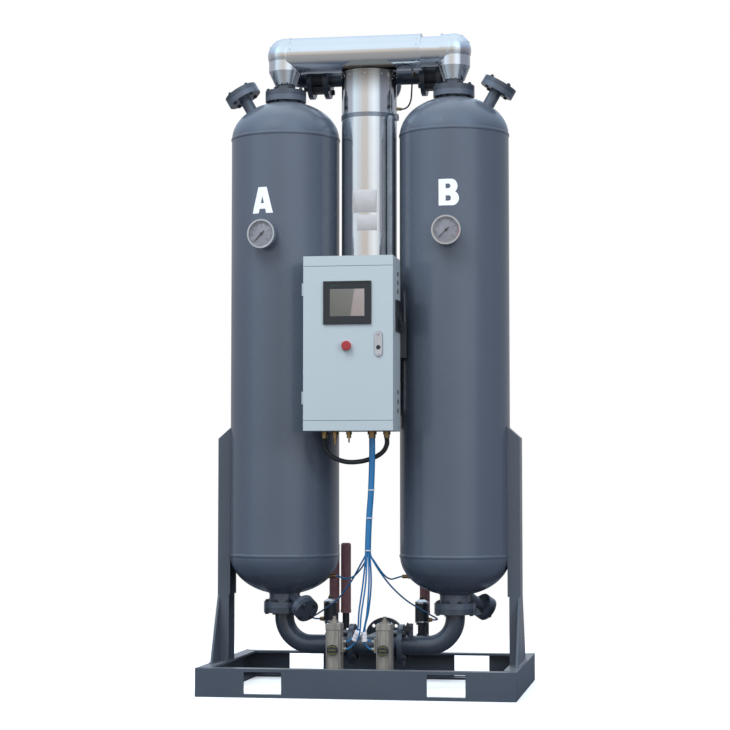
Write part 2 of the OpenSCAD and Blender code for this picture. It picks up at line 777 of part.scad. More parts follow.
module pointer() {
  // Zero is at the lower left, 45 degrees below the level
  len = gauge_d / 2 - bezel_w - 9;
  translate([0, 0, gauge_front - 17]) cylinder(r = 2, h = 8);
  translate([0, 0, gauge_front - 9]) cylinder(r = 5, h = 2.5);
  translate([0, 0, gauge_front - 9]) rotate([0, 0, 225]) linear_extrude(1.2)
    polygon([[-14, -2.2], [-14, 2.2], [0, 2.6], [len, 0.5], [len, -0.5], [0, -2.6]]);
}

module pointer_a() {
  color(black) translate([-tower_x, axis_y, 0]) gauge_axis(gauge_turn_a) pointer();
}

module pointer_b() {
  color(black) translate([tower_x, axis_y, 0]) gauge_axis(0) pointer();
}

// Top manifold: level pipe, two bends and two legs of one round section

module bend_part(r, a1, a2) {
  // Round section carried from one angle to another of the bend, counted from the leg
  translate([tower_x - bend_r, axis_y, bend_z]) rotate([90, 0, 180]) rotate([0, 0, -a1])
    rotate_extrude(angle = a1 - a2) translate([-bend_r, 0]) circle(r);
}

module run_end(r, low_z) {
  // Right end of the run: bend and leg down to the given height
  bend_part(r, 0, 90);
  translate([tower_x, axis_y, low_z]) cylinder(r = r, h = bend_z - low_z);
}

module gore_beads(r) {
  // Rolled beads where the gores of a clad elbow meet, each in a plane through the elbow's middle
  step = 90 / (gores + 1);
  for (k = [1 : gores]) rotate([0, -k * step, 0]) cylinder(r = r + bead_h, h = bead_w, center = true);
}

module run_level(r, x1, x2) {
  along_x([x1, axis_y, manifold_z]) cylinder(r = r, h = x2 - x1);
}

module manifold_run(r, low_z) {
  run_level(r, -bend_x, bend_x);
  mirror_pair() run_end(r, low_z);
}

module heater_neck(r) {
  translate([0, axis_y, heater_top_z - 40]) cylinder(r = r, h = manifold_z - heater_top_z + 40);
}

module outlet_branch(d) {
  // From the leg to the back and round towards the middle
  along_y([tower_x, axis_y, outlet_z]) cylinder(d = d, h = outlet_at - outlet_bend_r - axis_y);
  translate([tower_x, outlet_at - outlet_bend_r, outlet_z]) rotate([-90, 180, 0])
    quarter_bend(outlet_bend_r, d);
  along_x([check_in + check_t, outlet_at, outlet_z])
    cylinder(d = d, h = tower_x - outlet_bend_r - check_in - check_t);
}

module top_manifold() {
  r = pipe_d / 2;
  neck_r = 0.92 * r;
  foot_z = top_joint_z;
  color(paint) difference() {
    union() {
      manifold_run(r, foot_z);
      heater_neck(neck_r);
      mirror_pair() {
        outlet_branch(outlet_d);
        translate([tower_x, axis_y, foot_z])
          pipe_flange(neck_flange_d, neck_flange_t, pipe_d - over, neck_pcd,
            neck_bolts, neck_bolt_d + 2 * clearance);
        along_x([check_in + check_t, outlet_at, outlet_z])
          pipe_flange(flange_d, flange_t, outlet_d - over, flange_pcd,
            flange_bolts_n, flange_bolt_d + 2 * clearance);
      }
    }
    manifold_run(r - pipe_t, foot_z - over);
    translate([0, 0, -over]) heater_neck(neck_r - pipe_t);
    mirror_pair() {
      outlet_branch(outlet_d - 2 * pipe_t);
      along_x([check_in + check_t - over, outlet_at, outlet_z])
        cylinder(d = outlet_d - 2 * pipe_t, h = 2 * over);
    }
  }
}

module seam_bead(d, x) {
  along_x([x, axis_y, manifold_z]) cylinder(d = d + 2 * bead_h, h = bead_w);
}

module pipe_hollow() {
  // Room for the pipe inside the cladding
  manifold_run(pipe_d / 2 + clearance, jacket_end_z - over);
}

module cladding_straight() {
  color(steel) difference() {
    union() {
      run_level(jacket_d / 2, -clad_x, jacket_x_b);
      for (x = [-clad_x, jacket_x_b - bead_w]) seam_bead(jacket_d, x);
    }
    pipe_hollow();
    mirror([1, 0, 0]) outlet_branch(outlet_d + 2 * clearance);
    translate([0, 0, -clearance]) heater_neck(pipe_d / 2 + clearance);
  }
}

module jacket_end(d) {
  // Ball-cornered gored elbow, its leg and the closing cone; the ball's poles lie under a bead
  leg_r = d / 2 - leg_step;
  leg_z = jacket_end_z + cone_h;
  difference() {
    union() {
      translate([tower_x, axis_y, manifold_z]) {
        rotate([0, 90 / (gores + 1), 0]) sphere(d = d);
        gore_beads(d / 2);
      }
      translate([tower_x, axis_y, leg_z]) cylinder(r = leg_r, h = manifold_z - leg_z);
      translate([tower_x, axis_y, jacket_end_z]) cylinder(r1 = pipe_d / 2 + 5, r2 = leg_r, h = cone_h);
      children();
    }
    pipe_hollow();
    outlet_branch(outlet_d + 2 * clearance);
  }
}

module cladding_elbows() {
  color(steel) {
    mirror([1, 0, 0]) difference() {
      jacket_end(elbow_jacket_d);
      run_level(jacket_d / 2 + bead_h + clearance, 0, clad_x);
    }
    jacket_end(end_jacket_d) {
      run_level(collar_d / 2, jacket_x_b, collar_x);
      run_level(end_jacket_d / 2 - 2, collar_x, tower_x);
      seam_bead(end_jacket_d, collar_x);
    }
  }
}

module outlet_header() {
  // Header between the check valves with a slightly smaller branch to the outlet flange
  face = outlet_face_at - outlet_at;
  branch_d = 0.9 * outlet_d;
  color(paint) difference() {
    union() {
      along_x([-check_in + flange_t / 2, outlet_at, outlet_z])
        cylinder(d = outlet_d, h = 2 * check_in - flange_t);
      mirror_pair() along_x([check_in - flange_t, outlet_at, outlet_z])
        pipe_flange(flange_d, flange_t, outlet_d - over, flange_pcd,
          flange_bolts_n, flange_bolt_d + 2 * clearance);
      along_y([0, outlet_at, outlet_z]) cylinder(d = branch_d, h = face - over);
      along_y([0, outlet_face_at - flange_t, outlet_z])
        pipe_flange(flange_d, flange_t, branch_d - over, flange_pcd, flange_bolts_n, flange_bolt_d + 2);
    }
    along_x([-check_in - over, outlet_at, outlet_z])
      cylinder(d = outlet_d - 2 * pipe_t, h = 2 * (check_in + over));
    along_y([0, outlet_at, outlet_z]) cylinder(d = branch_d - 2 * pipe_t, h = face + over);
  }
}

module check_valves() {
  color(black) mirror_pair() along_x([check_in, outlet_at, outlet_z]) difference() {
    cylinder(d = wafer_d, h = check_t);
    translate([0, 0, check_t / 2 + 6]) cylinder(d = outlet_d - 2 * pipe_t, h = check_t);
    translate([0, 0, -check_t / 2 - 6]) cylinder(d = outlet_d - 2 * pipe_t, h = check_t);
  }
}

// Heater

module heater_cladding() {
  color(steel) translate([0, axis_y, 0]) difference() {
    union() {
      translate([0, 0, heater_low_z]) cylinder(d = heater_d, h = heater_l, $fn = 192);
      translate([0, 0, heater_top_z - bead_w]) cylinder(d = heater_d + 2 * bead_h, h = bead_w, $fn = 192);
    }
    translate([0, 0, heater_low_z - over]) cylinder(d = heater_bore, h = heater_l - 40 + over);
    translate([0, 0, heater_top_z - 40 - over]) cylinder(r = pipe_d / 2 + clearance, h = 40 + 2 * over);
    along_y([0, 0, heater_low_z + 90]) cylinder(d = purge_d + 2 * clearance, h = heater_d);
  }
}

module heater_core() {
  // Element rods on a flange, closed below by the terminal cover
  rod_l = heater_l - 150;
  color(alloy) translate([0, axis_y, heater_low_z]) {
    translate([0, 0, -14]) cylinder(d = heater_d - 10, h = 14);
    translate([0, 0, -60]) cylinder(d = heater_bore - 10, h = 46);
    translate([0, 0, -64]) cylinder(d = heater_bore, h = 8);
    spread(rods, heater_bore / 4) {
      cylinder(d = rod_d, h = rod_l - rod_d / 2);
      translate([0, 0, rod_l - rod_d / 2]) sphere(d = rod_d, $fn = 32);
    }
  }
}

module heater_band() {
  // Clamp band with a toggle buckle on its right front
  r = heater_d / 2 + clearance;
  color(steel) translate([0, axis_y, band_z - band_h / 2]) {
    difference() {
      cylinder(r = r + band_t, h = band_h, $fn = 192);
      translate([0, 0, -over]) cylinder(r = r, h = band_h + 2 * over, $fn = 192);
    }
    rotate([0, 0, -8]) translate([r + band_t / 2, 0, band_h / 2]) {
      translate([0, -14, -band_h * 0.7]) cube([7, 28, band_h * 1.4]);
      translate([7, -3, 0]) rotate([90, 0, 0]) cylinder(d = 5, h = 22, center = true, $fn = 24);
    }
  }
}

module heater_conduit() {
  // Cable conduit clipped in front of the heater, bent into the cabinet's back
  reach = heater_d / 2 + conduit_d / 2 + band_t + 2;
  x = reach * sin(conduit_turn);
  y = axis_y - reach * cos(conduit_turn);
  low_z = cab_top - 90;
  high_z = band_z - band_h;
  elbow = 32;
  color(steel) {
    translate([x, y, low_z + elbow]) cylinder(d = conduit_d, h = high_z - low_z - elbow);
    translate([x, y, high_z]) sphere(d = conduit_d);
    translate([x, y, low_z + elbow]) rotate([180, 0, 0]) rotate([0, 0, 90]) quarter_bend(elbow, conduit_d);
    along_y([x, back_y, low_z]) cylinder(d = conduit_d, h = y - elbow - back_y);
    along_y([x, back_y, low_z]) cylinder(d = conduit_d + 12, h = 6);
  }
}

module purge_line() {
  // Dry air from the outlet header down to the heater's inlet
  bend = 50;
  low_z = heater_low_z + 90;
  wall = axis_y + heater_bore / 2;
  color(paint) {
    translate([0, outlet_at, low_z + bend])
      cylinder(d = purge_d, h = outlet_z - outlet_d / 2 - low_z - bend - 4);
    difference() {
      translate([0, outlet_at, outlet_z - outlet_d / 2 - 8]) cylinder(d = purge_d + 8, h = 20);
      along_x([-purge_d, outlet_at, outlet_z]) cylinder(d = outlet_d + 2 * clearance, h = 2 * purge_d);
      along_y([0, outlet_at, outlet_z]) cylinder(d = outlet_d + 2 * clearance, h = purge_d);
    }
    translate([0, outlet_at, low_z + bend]) rotate([180, 0, 0]) rotate([0, 0, 90])
      quarter_bend(bend, purge_d);
    along_y([0, wall, low_z]) cylinder(d = purge_d, h = outlet_at - bend - wall);
  }
}

// Control cabinet

module hinge_knuckle(z, r_bore) {
  translate([hinge_x, hinge_y, z]) difference() {
    cylinder(r = hinge_r, h = hinge_half, $fn = 32);
    if (r_bore > 0) translate([0, 0, -over]) cylinder(r = r_bore, h = hinge_half + 2 * over, $fn = 32);
  }
}

module cabinet_body() {
  frame_y = front_y + door_t + door_gap;
  vent_y = back_y - 60;
  color(sheet) difference() {
    union() {
      difference() {
        translate([cab_left, front_y, cab_z]) cube([cab_w, cab_d, cab_h]);
        translate([cab_left + sheet_t, front_y + sheet_t, cab_z + sheet_t])
          cube([cab_w - 2 * sheet_t, cab_d - 2 * sheet_t, cab_h - 2 * sheet_t]);
        translate([cab_left - over, front_y - over, cab_z + strip_h])
          cube([cab_w + 2 * over, door_t + door_gap + over, cab_h - 2 * strip_h]);
      }
      difference() {
        translate([cab_left, frame_y, cab_z + strip_h - sheet_t])
          cube([cab_w, sheet_t, cab_h - 2 * strip_h + 2 * sheet_t]);
        translate([cab_left + lip_w, frame_y - over, cab_z + strip_h + lip_w])
          cube([cab_w - 2 * lip_w, sheet_t + 2 * over, cab_h - 2 * (strip_h + lip_w)]);
      }
      for (z = [cab_z + strip_h - sheet_t, cab_top - strip_h])
        translate([cab_left, front_y, z]) cube([cab_w, door_t + door_gap + sheet_t, sheet_t]);
      for (up = hinge_up) {
        hinge_knuckle(cab_z + up, 0);
        translate([hinge_x, hinge_y, cab_z + up]) cylinder(r = hinge_pin_r, h = 2 * hinge_half - 1, $fn = 32);
        translate([hinge_x, frame_y, cab_z + up]) cube([5 + sheet_t, 3.5, hinge_half]);
      }
    }
    for (z = [72, 105, 138, 497, 528, 559]) along_x([cab_right - 2 * sheet_t, vent_y, cab_z + z])
      cylinder(d = 14, h = 4 * sheet_t, $fn = 32);
    along_x([cab_right - 2 * sheet_t, back_y - fan_in, cab_z + fan_up])
      cylinder(d = fan_a - 14, h = 4 * sheet_t);
  }
}

module cabinet_door() {
  color(sheet) difference() {
    union() {
      difference() {
        translate([cab_left, front_y, door_low]) cube([cab_w, door_t, door_high - door_low]);
        translate([cab_left + sheet_t, front_y + sheet_t, door_low + sheet_t])
          cube([cab_w - 2 * sheet_t, door_t, door_high - door_low - 2 * sheet_t]);
      }
      for (up = hinge_up) difference() {
        union() {
          hinge_knuckle(cab_z + up + hinge_half + 0.4, 0);
          translate([hinge_x, hinge_y - hinge_r + 0.5, cab_z + up + hinge_half + 0.4])
            cube([5 + sheet_t, 3, hinge_half]);
        }
        translate([hinge_x, hinge_y, cab_z + up + hinge_half - over])
          cylinder(r = hinge_pin_r + run_fit, h = hinge_half + 3 * over, $fn = 32);
      }
    }
    translate([cab_x - hmi_left - hmi_w / 2 + 8, front_y - over, cab_z + hmi_up - hmi_h / 2 + 8])
      cube([hmi_w - 16, sheet_t + 2 * over, hmi_h - 16]);
    along_y([button_x, front_y - over, button_z]) cylinder(r = 11, h = sheet_t + 2 * over);
    along_y([lock_x, front_y - over, lock_core_z]) cylinder(r = lock_core_r + 4, h = sheet_t + 2 * over);
  }
}

module hmi_terminal() {
  // Bezel in front of the door and the housing through its cut-out
  bezel_t = 6;
  color(black) translate([cab_x - hmi_left, front_y, cab_z + hmi_up]) difference() {
    union() {
      translate([-hmi_w / 2, -bezel_t, -hmi_h / 2]) cube([hmi_w, bezel_t, hmi_h]);
      translate([-hmi_w / 2 + 8 + clearance, -over, -hmi_h / 2 + 8 + clearance])
        cube([hmi_w - 16 - 2 * clearance, 34, hmi_h - 16 - 2 * clearance]);
    }
    translate([-display_w / 2, -bezel_t - over, -display_h / 2]) cube([display_w, over + 1.5, display_h]);
  }
}

module button_collar() {
  color(steel) along_y([button_x, front_y - 3, button_z]) difference() {
    union() {
      cylinder(r = 15, h = 3);
      translate([0, 0, 2]) cylinder(r = 11 - clearance, h = 24);
    }
    translate([0, 0, -over]) cylinder(r = 8 + run_fit, h = 30);
  }
}

module stop_button() {
  // Mushroom head on a stem that slides in the collar
  gap = button_travel + 1;
  head = 8;
  color("#c3232b") {
    along_y([button_x, front_y - 3 - gap, button_z]) cylinder(r = 8, h = 20);
    along_y([button_x, front_y - 3 - gap - head, button_z]) {
      cylinder(d1 = button_d - 5, d2 = button_d, h = 3);
      translate([0, 0, 3]) cylinder(d = button_d, h = head - 3);
    }
  }
}

module lock_plate() {
  plate = 5;
  r = lock_w / 2;
  color(steel) translate([lock_x, front_y, lock_z]) difference() {
    union() {
      for (s = [-1, 1]) along_y([0, -plate, s * (lock_h / 2 - r)]) cylinder(r = r, h = plate);
      translate([-r, -plate, -lock_h / 2 + r]) cube([lock_w, plate, lock_h - lock_w]);
      along_y([0, -over, lock_core_z - lock_z]) cylinder(r = lock_core_r + 4 - clearance, h = 20);
    }
    along_y([0, -plate - over, lock_core_z - lock_z]) cylinder(r = lock_core_r + run_fit, h = 30);
    translate([-r + 7, -plate - over, -2]) cube([lock_w - 14, 1.5 + over, lock_h / 2 - r + 2]);
  }
}

module lock_core() {
  // Core with a key slot in front and a cam behind the frame's lip
  cam_y = front_y + door_t + door_gap + sheet_t + 2;
  cam_l = lock_in - sheet_t - 6;
  color(steel) difference() {
    union() {
      along_y([lock_x, front_y - 4.5, lock_core_z]) cylinder(r = lock_core_r, h = cam_y - front_y + 8);
      translate([lock_x - 8, cam_y, lock_core_z - 8]) cube([16, 3, cam_l + 8]);
    }
    translate([lock_x - 1.2, front_y - 6, lock_core_z - 5]) cube([2.4, 4, 10]);
  }
}

module mounting_plate() {
  m = 16;
  color("#d8d6cf") difference() {
    translate([cab_left + m, back_y - sheet_t - 12, cab_z + m]) cube([cab_w - 2 * m, 3, cab_h - 2 * m]);
    for (x = [cab_left + m + 12, cab_right - m - 12], z = [cab_z + m + 12, cab_top - m - 12])
      along_y([x, back_y - sheet_t - 12 - over, z]) cylinder(r = 4 + clearance, h = 3 + 2 * over, $fn = 32);
  }
  color(steel) for (x = [cab_left + m + 12, cab_right - m - 12], z = [cab_z + m + 12, cab_top - m - 12]) {
    along_y([x, back_y - sheet_t - 9, z]) cylinder(r = 7, h = 9, $fn = 32);
  }
}

module control_modules() {
  // Breakers, controller and terminal blocks on three rails
  y = back_y - sheet_t - 12;
  rails = [for (up = rail_up) cab_z + up];
  module rail_row(z, widths, depth, height, x0) {
    translate([cab_left + 40, y - 7, z - 17]) cube([cab_w - 80, 7, 35]);
    for (i = [0 : len(widths) - 1]) {
      x = x0 + (i == 0 ? 0 : 1) * widths[0] + max(0, i - 1) * widths[1];
      translate([x + 0.5, y - 7 - depth, z - height / 2]) cube([widths[i] - 1, depth, height]);
      translate([x + 0.5 + widths[i] * 0.25, y - 7 - depth - 5, z - height / 6])
        cube([widths[i] * 0.5 - 1, 5 + over, height / 3]);
    }
  }
  color("#54585c") {
    rail_row(rails[0], [54, 18, 18, 18, 18, 18], 60, 84, cab_left + 52);
    rail_row(rails[1], [128, 40, 40], 66, 92, cab_left + 52);
    rail_row(rails[2], [12, 12, 12, 12, 12, 12, 12, 12, 12, 12, 12, 12], 40, 52, cab_left + 60);
  }
}

module valve_island() {
  // Row of solenoid valves on a manifold block above the tube outlet
  y = back_y - sheet_t - 12;
  color(alloy) {
    translate([cab_x + 2, y - 40, cab_z + 90]) cube([136, 40, 30]);
    for (i = [0 : 5]) {
      translate([cab_x + 6 + i * 22, y - 40, cab_z + 120]) cube([18, 36, 38]);
      translate([cab_x + 15 + i * 22, y - 20, cab_z + 157]) cylinder(d = 10, h = 8, $fn = 24);
    }
  }
}

module side_fan() {
  // Square fan cover with louvre slots on the cabinet's right side
  y = back_y - fan_in;
  z = cab_z + fan_up;
  t = 7;
  color(black) difference() {
    union() {
      translate([cab_right, y - fan_a / 2, z - fan_a / 2]) cube([t, fan_a, fan_a]);
      along_x([cab_right - 24, y, z]) cylinder(d = fan_a - 16, h = 24 + over);
    }
    for (i = [-3 : 3]) translate([cab_right + t - 3, y - fan_a / 2 + 12, z + i * 13 - 3.5])
      cube([3 + over, fan_a - 24, 7]);
  }
}

module cabinet_bracket() {
  // Plate behind the cabinet with a leg bent back to each tower
  h = bracket_h;
  t = 6;
  w = 2 * bracket_x;
  z = cab_z + bracket_up;
  y = back_y + clearance;
  color(black) difference() {
    union() {
      translate([-w / 2, y, z]) cube([w, t, h]);
      for (x = [-w / 2, w / 2 - t]) translate([x, y, z]) cube([t, tower_r, h]);
    }
    translate([cab_x - 60, y - over, z + 30]) cube([120, t + 2 * over, h - 60]);
    for (s = [-1, 1]) translate([s * tower_x, axis_y, z - over])
      cylinder(r = tower_r + clearance, h = h + 2 * over, $fn = 192);
  }
}

module gland(x, d, y = cord_y) {
  translate([x, y, cab_z - gland_h]) {
    cylinder(r = d * 0.75, h = gland_h, $fn = 6);
    translate([0, 0, -gland_h]) cylinder(d = d * 1.15, h = gland_h);
  }
}

module push_fitting_back(l, d = 14) {
  // The same fitting seen from its tube end
  translate([0, 0, l]) rotate([180, 0, 0]) push_fitting(l, d);
}

module push_fitting(l, d = 14) {
  // Hexagon foot and round collar that a tube ends in
  cylinder(r = d * 0.6, h = l * 0.45, $fn = 6);
  translate([0, 0, l * 0.4]) cylinder(d = d, h = l * 0.6, $fn = 32);
}

module fittings() {
  // Glands under the cabinet, two with drain stubs, and the fittings that the tubes end in
  color(brass) {
    gland(bundle_x, bundle_d);
    for (x = loop_xs) gland(x, loop_d, loop_y);
    gland(-84, 16);
    translate([-84, cord_y, cab_z - 46]) cylinder(d = 10, h = 46 - 2 * gland_h);
    gland(-34, 14);
    translate([-34, cord_y, cab_z - 40]) cylinder(d = 6, h = 40 - 2 * gland_h);
    mirror_pair() {
      difference() {
        along_x([head_port_x, axis_y, head_port_z]) push_fitting_back(40);
        translate([tower_x, axis_y, 0]) tower_body(clearance);
      }
      along_x([purge_port_x - purge_port_l, purge_at, purge_port_z]) push_fitting(purge_port_l);
    }
    translate([0, axis_y, sensor_z]) rotate([0, 90, sensor_turn])
      translate([0, 0, heater_d / 2 + clearance]) push_fitting(22 - clearance, 11);
    along_y([probe_x, probe_y, outlet_z]) push_fitting_back(18);
  }
}

// Lower pipework

module lower_pipe(d) {
  // Leg under the tower, quarter bend and level run to the butterfly valve
  leg_z = lower_z + elbow_r;
  translate([tower_x, axis_y, leg_z]) cylinder(d = d, h = low_joint_z - leg_z);
  translate([tower_x, axis_y, leg_z]) rotate([180, 0, 180]) quarter_bend(elbow_r, d);
  along_x([valve_out, axis_y, lower_z]) cylinder(d = d, h = tower_x - elbow_r - valve_out);
}

module purge_branch(d) {
  // Branch from the level run back to the purge valve
  along_y([purge_x, axis_y, lower_z]) cylinder(d = d, h = purge_at - axis_y - purge_neck);
}

module bleed_stub() {
  // Stub on top of the right lower pipe with a bonnet towards the front
  translate([knob_x, axis_y, lower_z]) cylinder(d = 22, h = knob_z - lower_z + 12, $fn = 48);
  along_y([knob_x, axis_y - bonnet_l, knob_z]) cylinder(d = 18, h = bonnet_l, $fn = 48);
}

module lower_run(right) {
  bolt_hole = flange_bolt_d + 2 * clearance;
  difference() {
    union() {
      lower_pipe(pipe_d);
      purge_branch(30);
      translate([tower_x, axis_y, low_joint_z - neck_flange_t])
        pipe_flange(neck_flange_d, neck_flange_t, pipe_d - over, neck_pcd,
          neck_bolts, neck_bolt_d + 2 * clearance);
      along_x([valve_out, axis_y, lower_z])
        pipe_flange(flange_d, flange_t, pipe_d - over, flange_pcd, flange_bolts_n, bolt_hole);
      if (right) bleed_stub();
    }
    if (right) along_y([knob_x, axis_y - bonnet_l - over, knob_z])
      cylinder(r = spindle_r + run_fit, h = bonnet_l - bonnet_wall + over, $fn = 32);
    lower_pipe(pipe_d - 2 * pipe_t);
    purge_branch(22);
    translate([tower_x, axis_y, low_joint_z - over]) cylinder(d = pipe_d - 2 * pipe_t, h = 2 * over);
    along_x([valve_out - over, axis_y, lower_z]) cylinder(d = pipe_d - 2 * pipe_t, h = 2 * over);
    along_y([purge_x, purge_at - purge_neck - over, lower_z]) cylinder(d = 22, h = 2 * over);
  }
}

module lower_pipes() {
  color(paint) {
    lower_run(true);
    mirror([1, 0, 0]) lower_run(false);
  }
}

module inlet_tee() {
  bolt_hole = flange_bolt_d + 2 * clearance;
  bore = pipe_d - 2 * pipe_t;
  branch_d = 0.95 * pipe_d;
  color(paint) difference() {
    union() {
      along_x([-valve_in + over, axis_y, lower_z]) cylinder(d = pipe_d, h = 2 * (valve_in - over));
      mirror_pair() along_x([valve_in - flange_t, axis_y, lower_z])
        pipe_flange(flange_d, flange_t, pipe_d - over, flange_pcd, flange_bolts_n, bolt_hole);
      along_y([0, axis_y, lower_z]) cylinder(d = branch_d, h = inlet_at - axis_y - over);
      along_y([0, inlet_at - flange_t, lower_z])
        pipe_flange(flange_d, flange_t, branch_d - over, flange_pcd, flange_bolts_n, flange_bolt_d + 2);
    }
    along_x([-valve_in - over, axis_y, lower_z]) cylinder(d = bore, h = 2 * (valve_in + over));
    along_y([0, axis_y, lower_z]) cylinder(d = branch_d - 2 * pipe_t, h = inlet_at - axis_y + over);
  }
}

module bleed_knob() {
  // Five-pointed hand knob on a spindle that turns in the bonnet
  star = [for (i = [0 : 9]) let (a = i * 36 - 90) (i % 2 == 0 ? knob_d / 2 : knob_d / 4) * [cos(a), sin(a)]];
  color(black) {
    along_y([knob_x, knob_y - knob_t, knob_z]) linear_extrude(knob_t) polygon(star);
    along_y([knob_x, knob_y - knob_t - 3, knob_z]) cylinder(d = knob_d / 2, h = knob_t + 6, $fn = 48);
    along_y([knob_x, knob_y, knob_z])
      cylinder(r = spindle_r, h = axis_y - bonnet_wall - 2 - knob_y, $fn = 32);
  }
}

module valve_bodies() {
  // Wafer rings with a neck and a pad that carries the actuator
  pad = 10;
  color(black) mirror_pair() difference() {
    union() {
      along_x([valve_in, axis_y, lower_z]) cylinder(d = wafer_d, h = valve_t);
      along_y([valve_x, act_back + pad, lower_z]) cylinder(d = stem_d + 18, h = axis_y - act_back - pad);
      translate([valve_x - 24, act_back, lower_z - 24]) cube([48, pad, 48]);
    }
    along_x([valve_in - over, axis_y, lower_z]) cylinder(d = pipe_d - 2 * pipe_t, h = valve_t + 2 * over);
    along_y([valve_x, act_back - over, lower_z]) cylinder(r = stem_d / 2 + run_fit, h = wafer_d + 200);
  }
}

module valve_disc(x) {
  // Disc closed across the pipe, on a stem through the body and the actuator to the indicator
  r = pipe_d / 2 - pipe_t - clearance;
  tail = axis_y + wafer_d / 2 - 6;
  color(black) {
    along_y([x, act_at - 4, lower_z]) cylinder(d = stem_d, h = tail - act_at + 4);
    intersection() {
      along_x([x - 4, axis_y, lower_z]) cylinder(r = r, h = 8);
      translate([x, axis_y, lower_z]) sphere(r = r);
    }
    along_y([x, act_at - 16, lower_z]) cylinder(d = dial_d, h = 13);
    translate([x - dial_d / 2 + 4, act_at - 19, lower_z - 3]) cube([dial_d - 8, 4, 6]);
  }
}

module valve_disc_a() {
  valve_disc(-valve_x);
}

module valve_disc_b() {
  valve_disc(valve_x);
}

module actuator() {
  // Rack housing with end caps, stop bolts and a port plate on the side towards the middle
  body_h = act_h - 2 * act_cap;
  mid_y = act_at + act_d / 2;
  plate = 8;
  difference() {
    union() {
      translate([valve_x, mid_y, lower_z - body_h / 2]) round_bar([act_w - 2, act_d - 2, body_h], 6);
      for (z = [lower_z - act_h / 2, lower_z + body_h / 2]) translate([valve_x, mid_y, z])
        round_bar([act_w, act_d, act_cap], 4);
      translate([valve_x, mid_y, lower_z + act_h / 2]) {
        round_bar([act_w - 26, act_d - 26, 6], 4);
        cylinder(r = 11, h = 14, $fn = 6);
        cylinder(d = 12, h = 26, $fn = 32);
      }
      translate([valve_x - act_w / 2 - plate, mid_y - 22, lower_z - 10]) cube([plate + 2, 44, 50]);
      for (z = act_ports_z) along_x([act_port_x, act_port_y, z]) cylinder(d = 12, h = 10, $fn = 32);
    }
    along_y([valve_x, act_at - over, lower_z]) cylinder(r = stem_d / 2 + run_fit, h = act_d + 2 * over);
    for (s = [-1, 1]) translate([valve_x + s * act_w / 2, act_at + 14, lower_z - body_h / 2 + 4])
      cylinder(r = 3, h = body_h - 8, $fn = 24);
  }
}

module actuator_a() {
  color(alloy) mirror([1, 0, 0]) actuator();
}

module actuator_b() {
  color(alloy) actuator();
}

// Exhaust

module purge_valves() {
  // Angle valve body with a bonnet, a round pneumatic head and its air fitting
  head_z = lower_z + purge_head_up;
  color(black) mirror_pair() translate([purge_x, purge_at, 0]) {
    translate([0, 0, lower_z - 22]) cylinder(d = 40, h = 52);
    along_y([0, -purge_neck, lower_z]) cylinder(d = 36, h = purge_neck);
    translate([0, 0, lower_z + 28]) cylinder(d = 30, h = 46);
    translate([0, 0, head_z - 8]) cylinder(d = purge_head_d - 8, h = 10);
    translate([0, 0, head_z]) cylinder(d = purge_head_d, h = purge_head_h);
    translate([0, 0, head_z + purge_head_h]) cylinder(d1 = purge_head_d - 4, d2 = 22, h = 8);
    translate([0, 0, head_z + purge_head_h + 7]) cylinder(r = 9, h = 9, $fn = 6);
    translate([0, 0, head_z + purge_head_h + 15]) cylinder(d = 10, h = 8);
    along_y([0, 0, lower_z + 14]) cylinder(d = 30, h = silencer_y - purge_at);
    translate([0, silencer_y - purge_at, lower_z + 14]) cylinder(d = 30, h = silencer_z - lower_z - 14);
  }
  color(black) translate([-purge_x, silencer_y, lower_z + 30]) {
    along_x([0, 0, 12]) cylinder(d = 26, h = silencer_pitch);
    translate([silencer_pitch, 0, 12]) cylinder(d = 26, h = silencer_z - lower_z - 42);
  }
}

module silencer_set() {
  // Sintered silencers with a hexagon foot and a rounded top
  color("#6b4038") for (x = [-purge_x, -purge_x + silencer_pitch, purge_x])
    translate([x, silencer_y, silencer_z]) {
    cylinder(r = silencer_d / 2, h = 12, $fn = 6);
    translate([0, 0, 12]) cylinder(d = silencer_d - 2, h = silencer_l - 18);
    translate([0, 0, silencer_l - 6]) cylinder(d1 = silencer_d - 2, d2 = silencer_d - 10, h = 6);
  }
}

// Tubes and cables: a round section carried along the points of a route

function unit(v) = v / norm(v);

function heading(p, i, first, last) = i == 0 ? first : i == len(p) - 1 ? last : unit(p[i + 1] - p[i - 1]);

module cord(route, d, first, last, sides = 8, ref = [0, 1, 0]) {
  // Both end rings stand square to the directions in which the tube leaves and arrives
  n = len(route);
  rings = [for (i = [0 : n - 1])
    let (t = heading(route, i, first, last), u = unit(cross(t, ref)), v = cross(t, u))
    for (k = [0 : sides - 1]) route[i] + d / 2 * (u * cos(k * 360 / sides) + v * sin(k * 360 / sides))];
  sides_faces = [for (i = [0 : n - 2], k = [0 : sides - 1]) let (a = i * sides, j = (k + 1) % sides)
    each [[a + k, a + j, a + sides + j], [a + k, a + sides + j, a + sides + k]]];
  ends = [[for (k = [sides - 1 : -1 : 0]) k], [for (k = [0 : sides - 1]) (n - 1) * sides + k]];
  polyhedron(rings, concat(sides_faces, ends));
}

down = [0, 0, -1];
side_ref = [1, 0, 0.6];

module tube_bundle() {
  color(blue) cord(bundle_route, bundle_d, down, down, 12);
}

module tube_a_top() {
  color(blue) cord(tube_a_top_route, tube_d, down, [-1, 0, 0], ref = side_ref);
}

module tube_a_low() {
  color(blue) cord(tube_a_low_route, tube_d, down, [1, 0, 0], ref = side_ref);
}

module tube_b_top() {
  color(blue) cord(tube_b_top_route, tube_d, down, [1, 0, 0], ref = side_ref);
}

module tube_b_low() {
  color(blue) cord(tube_b_low_route, tube_d, down, [-1, 0, 0], ref = side_ref);
}

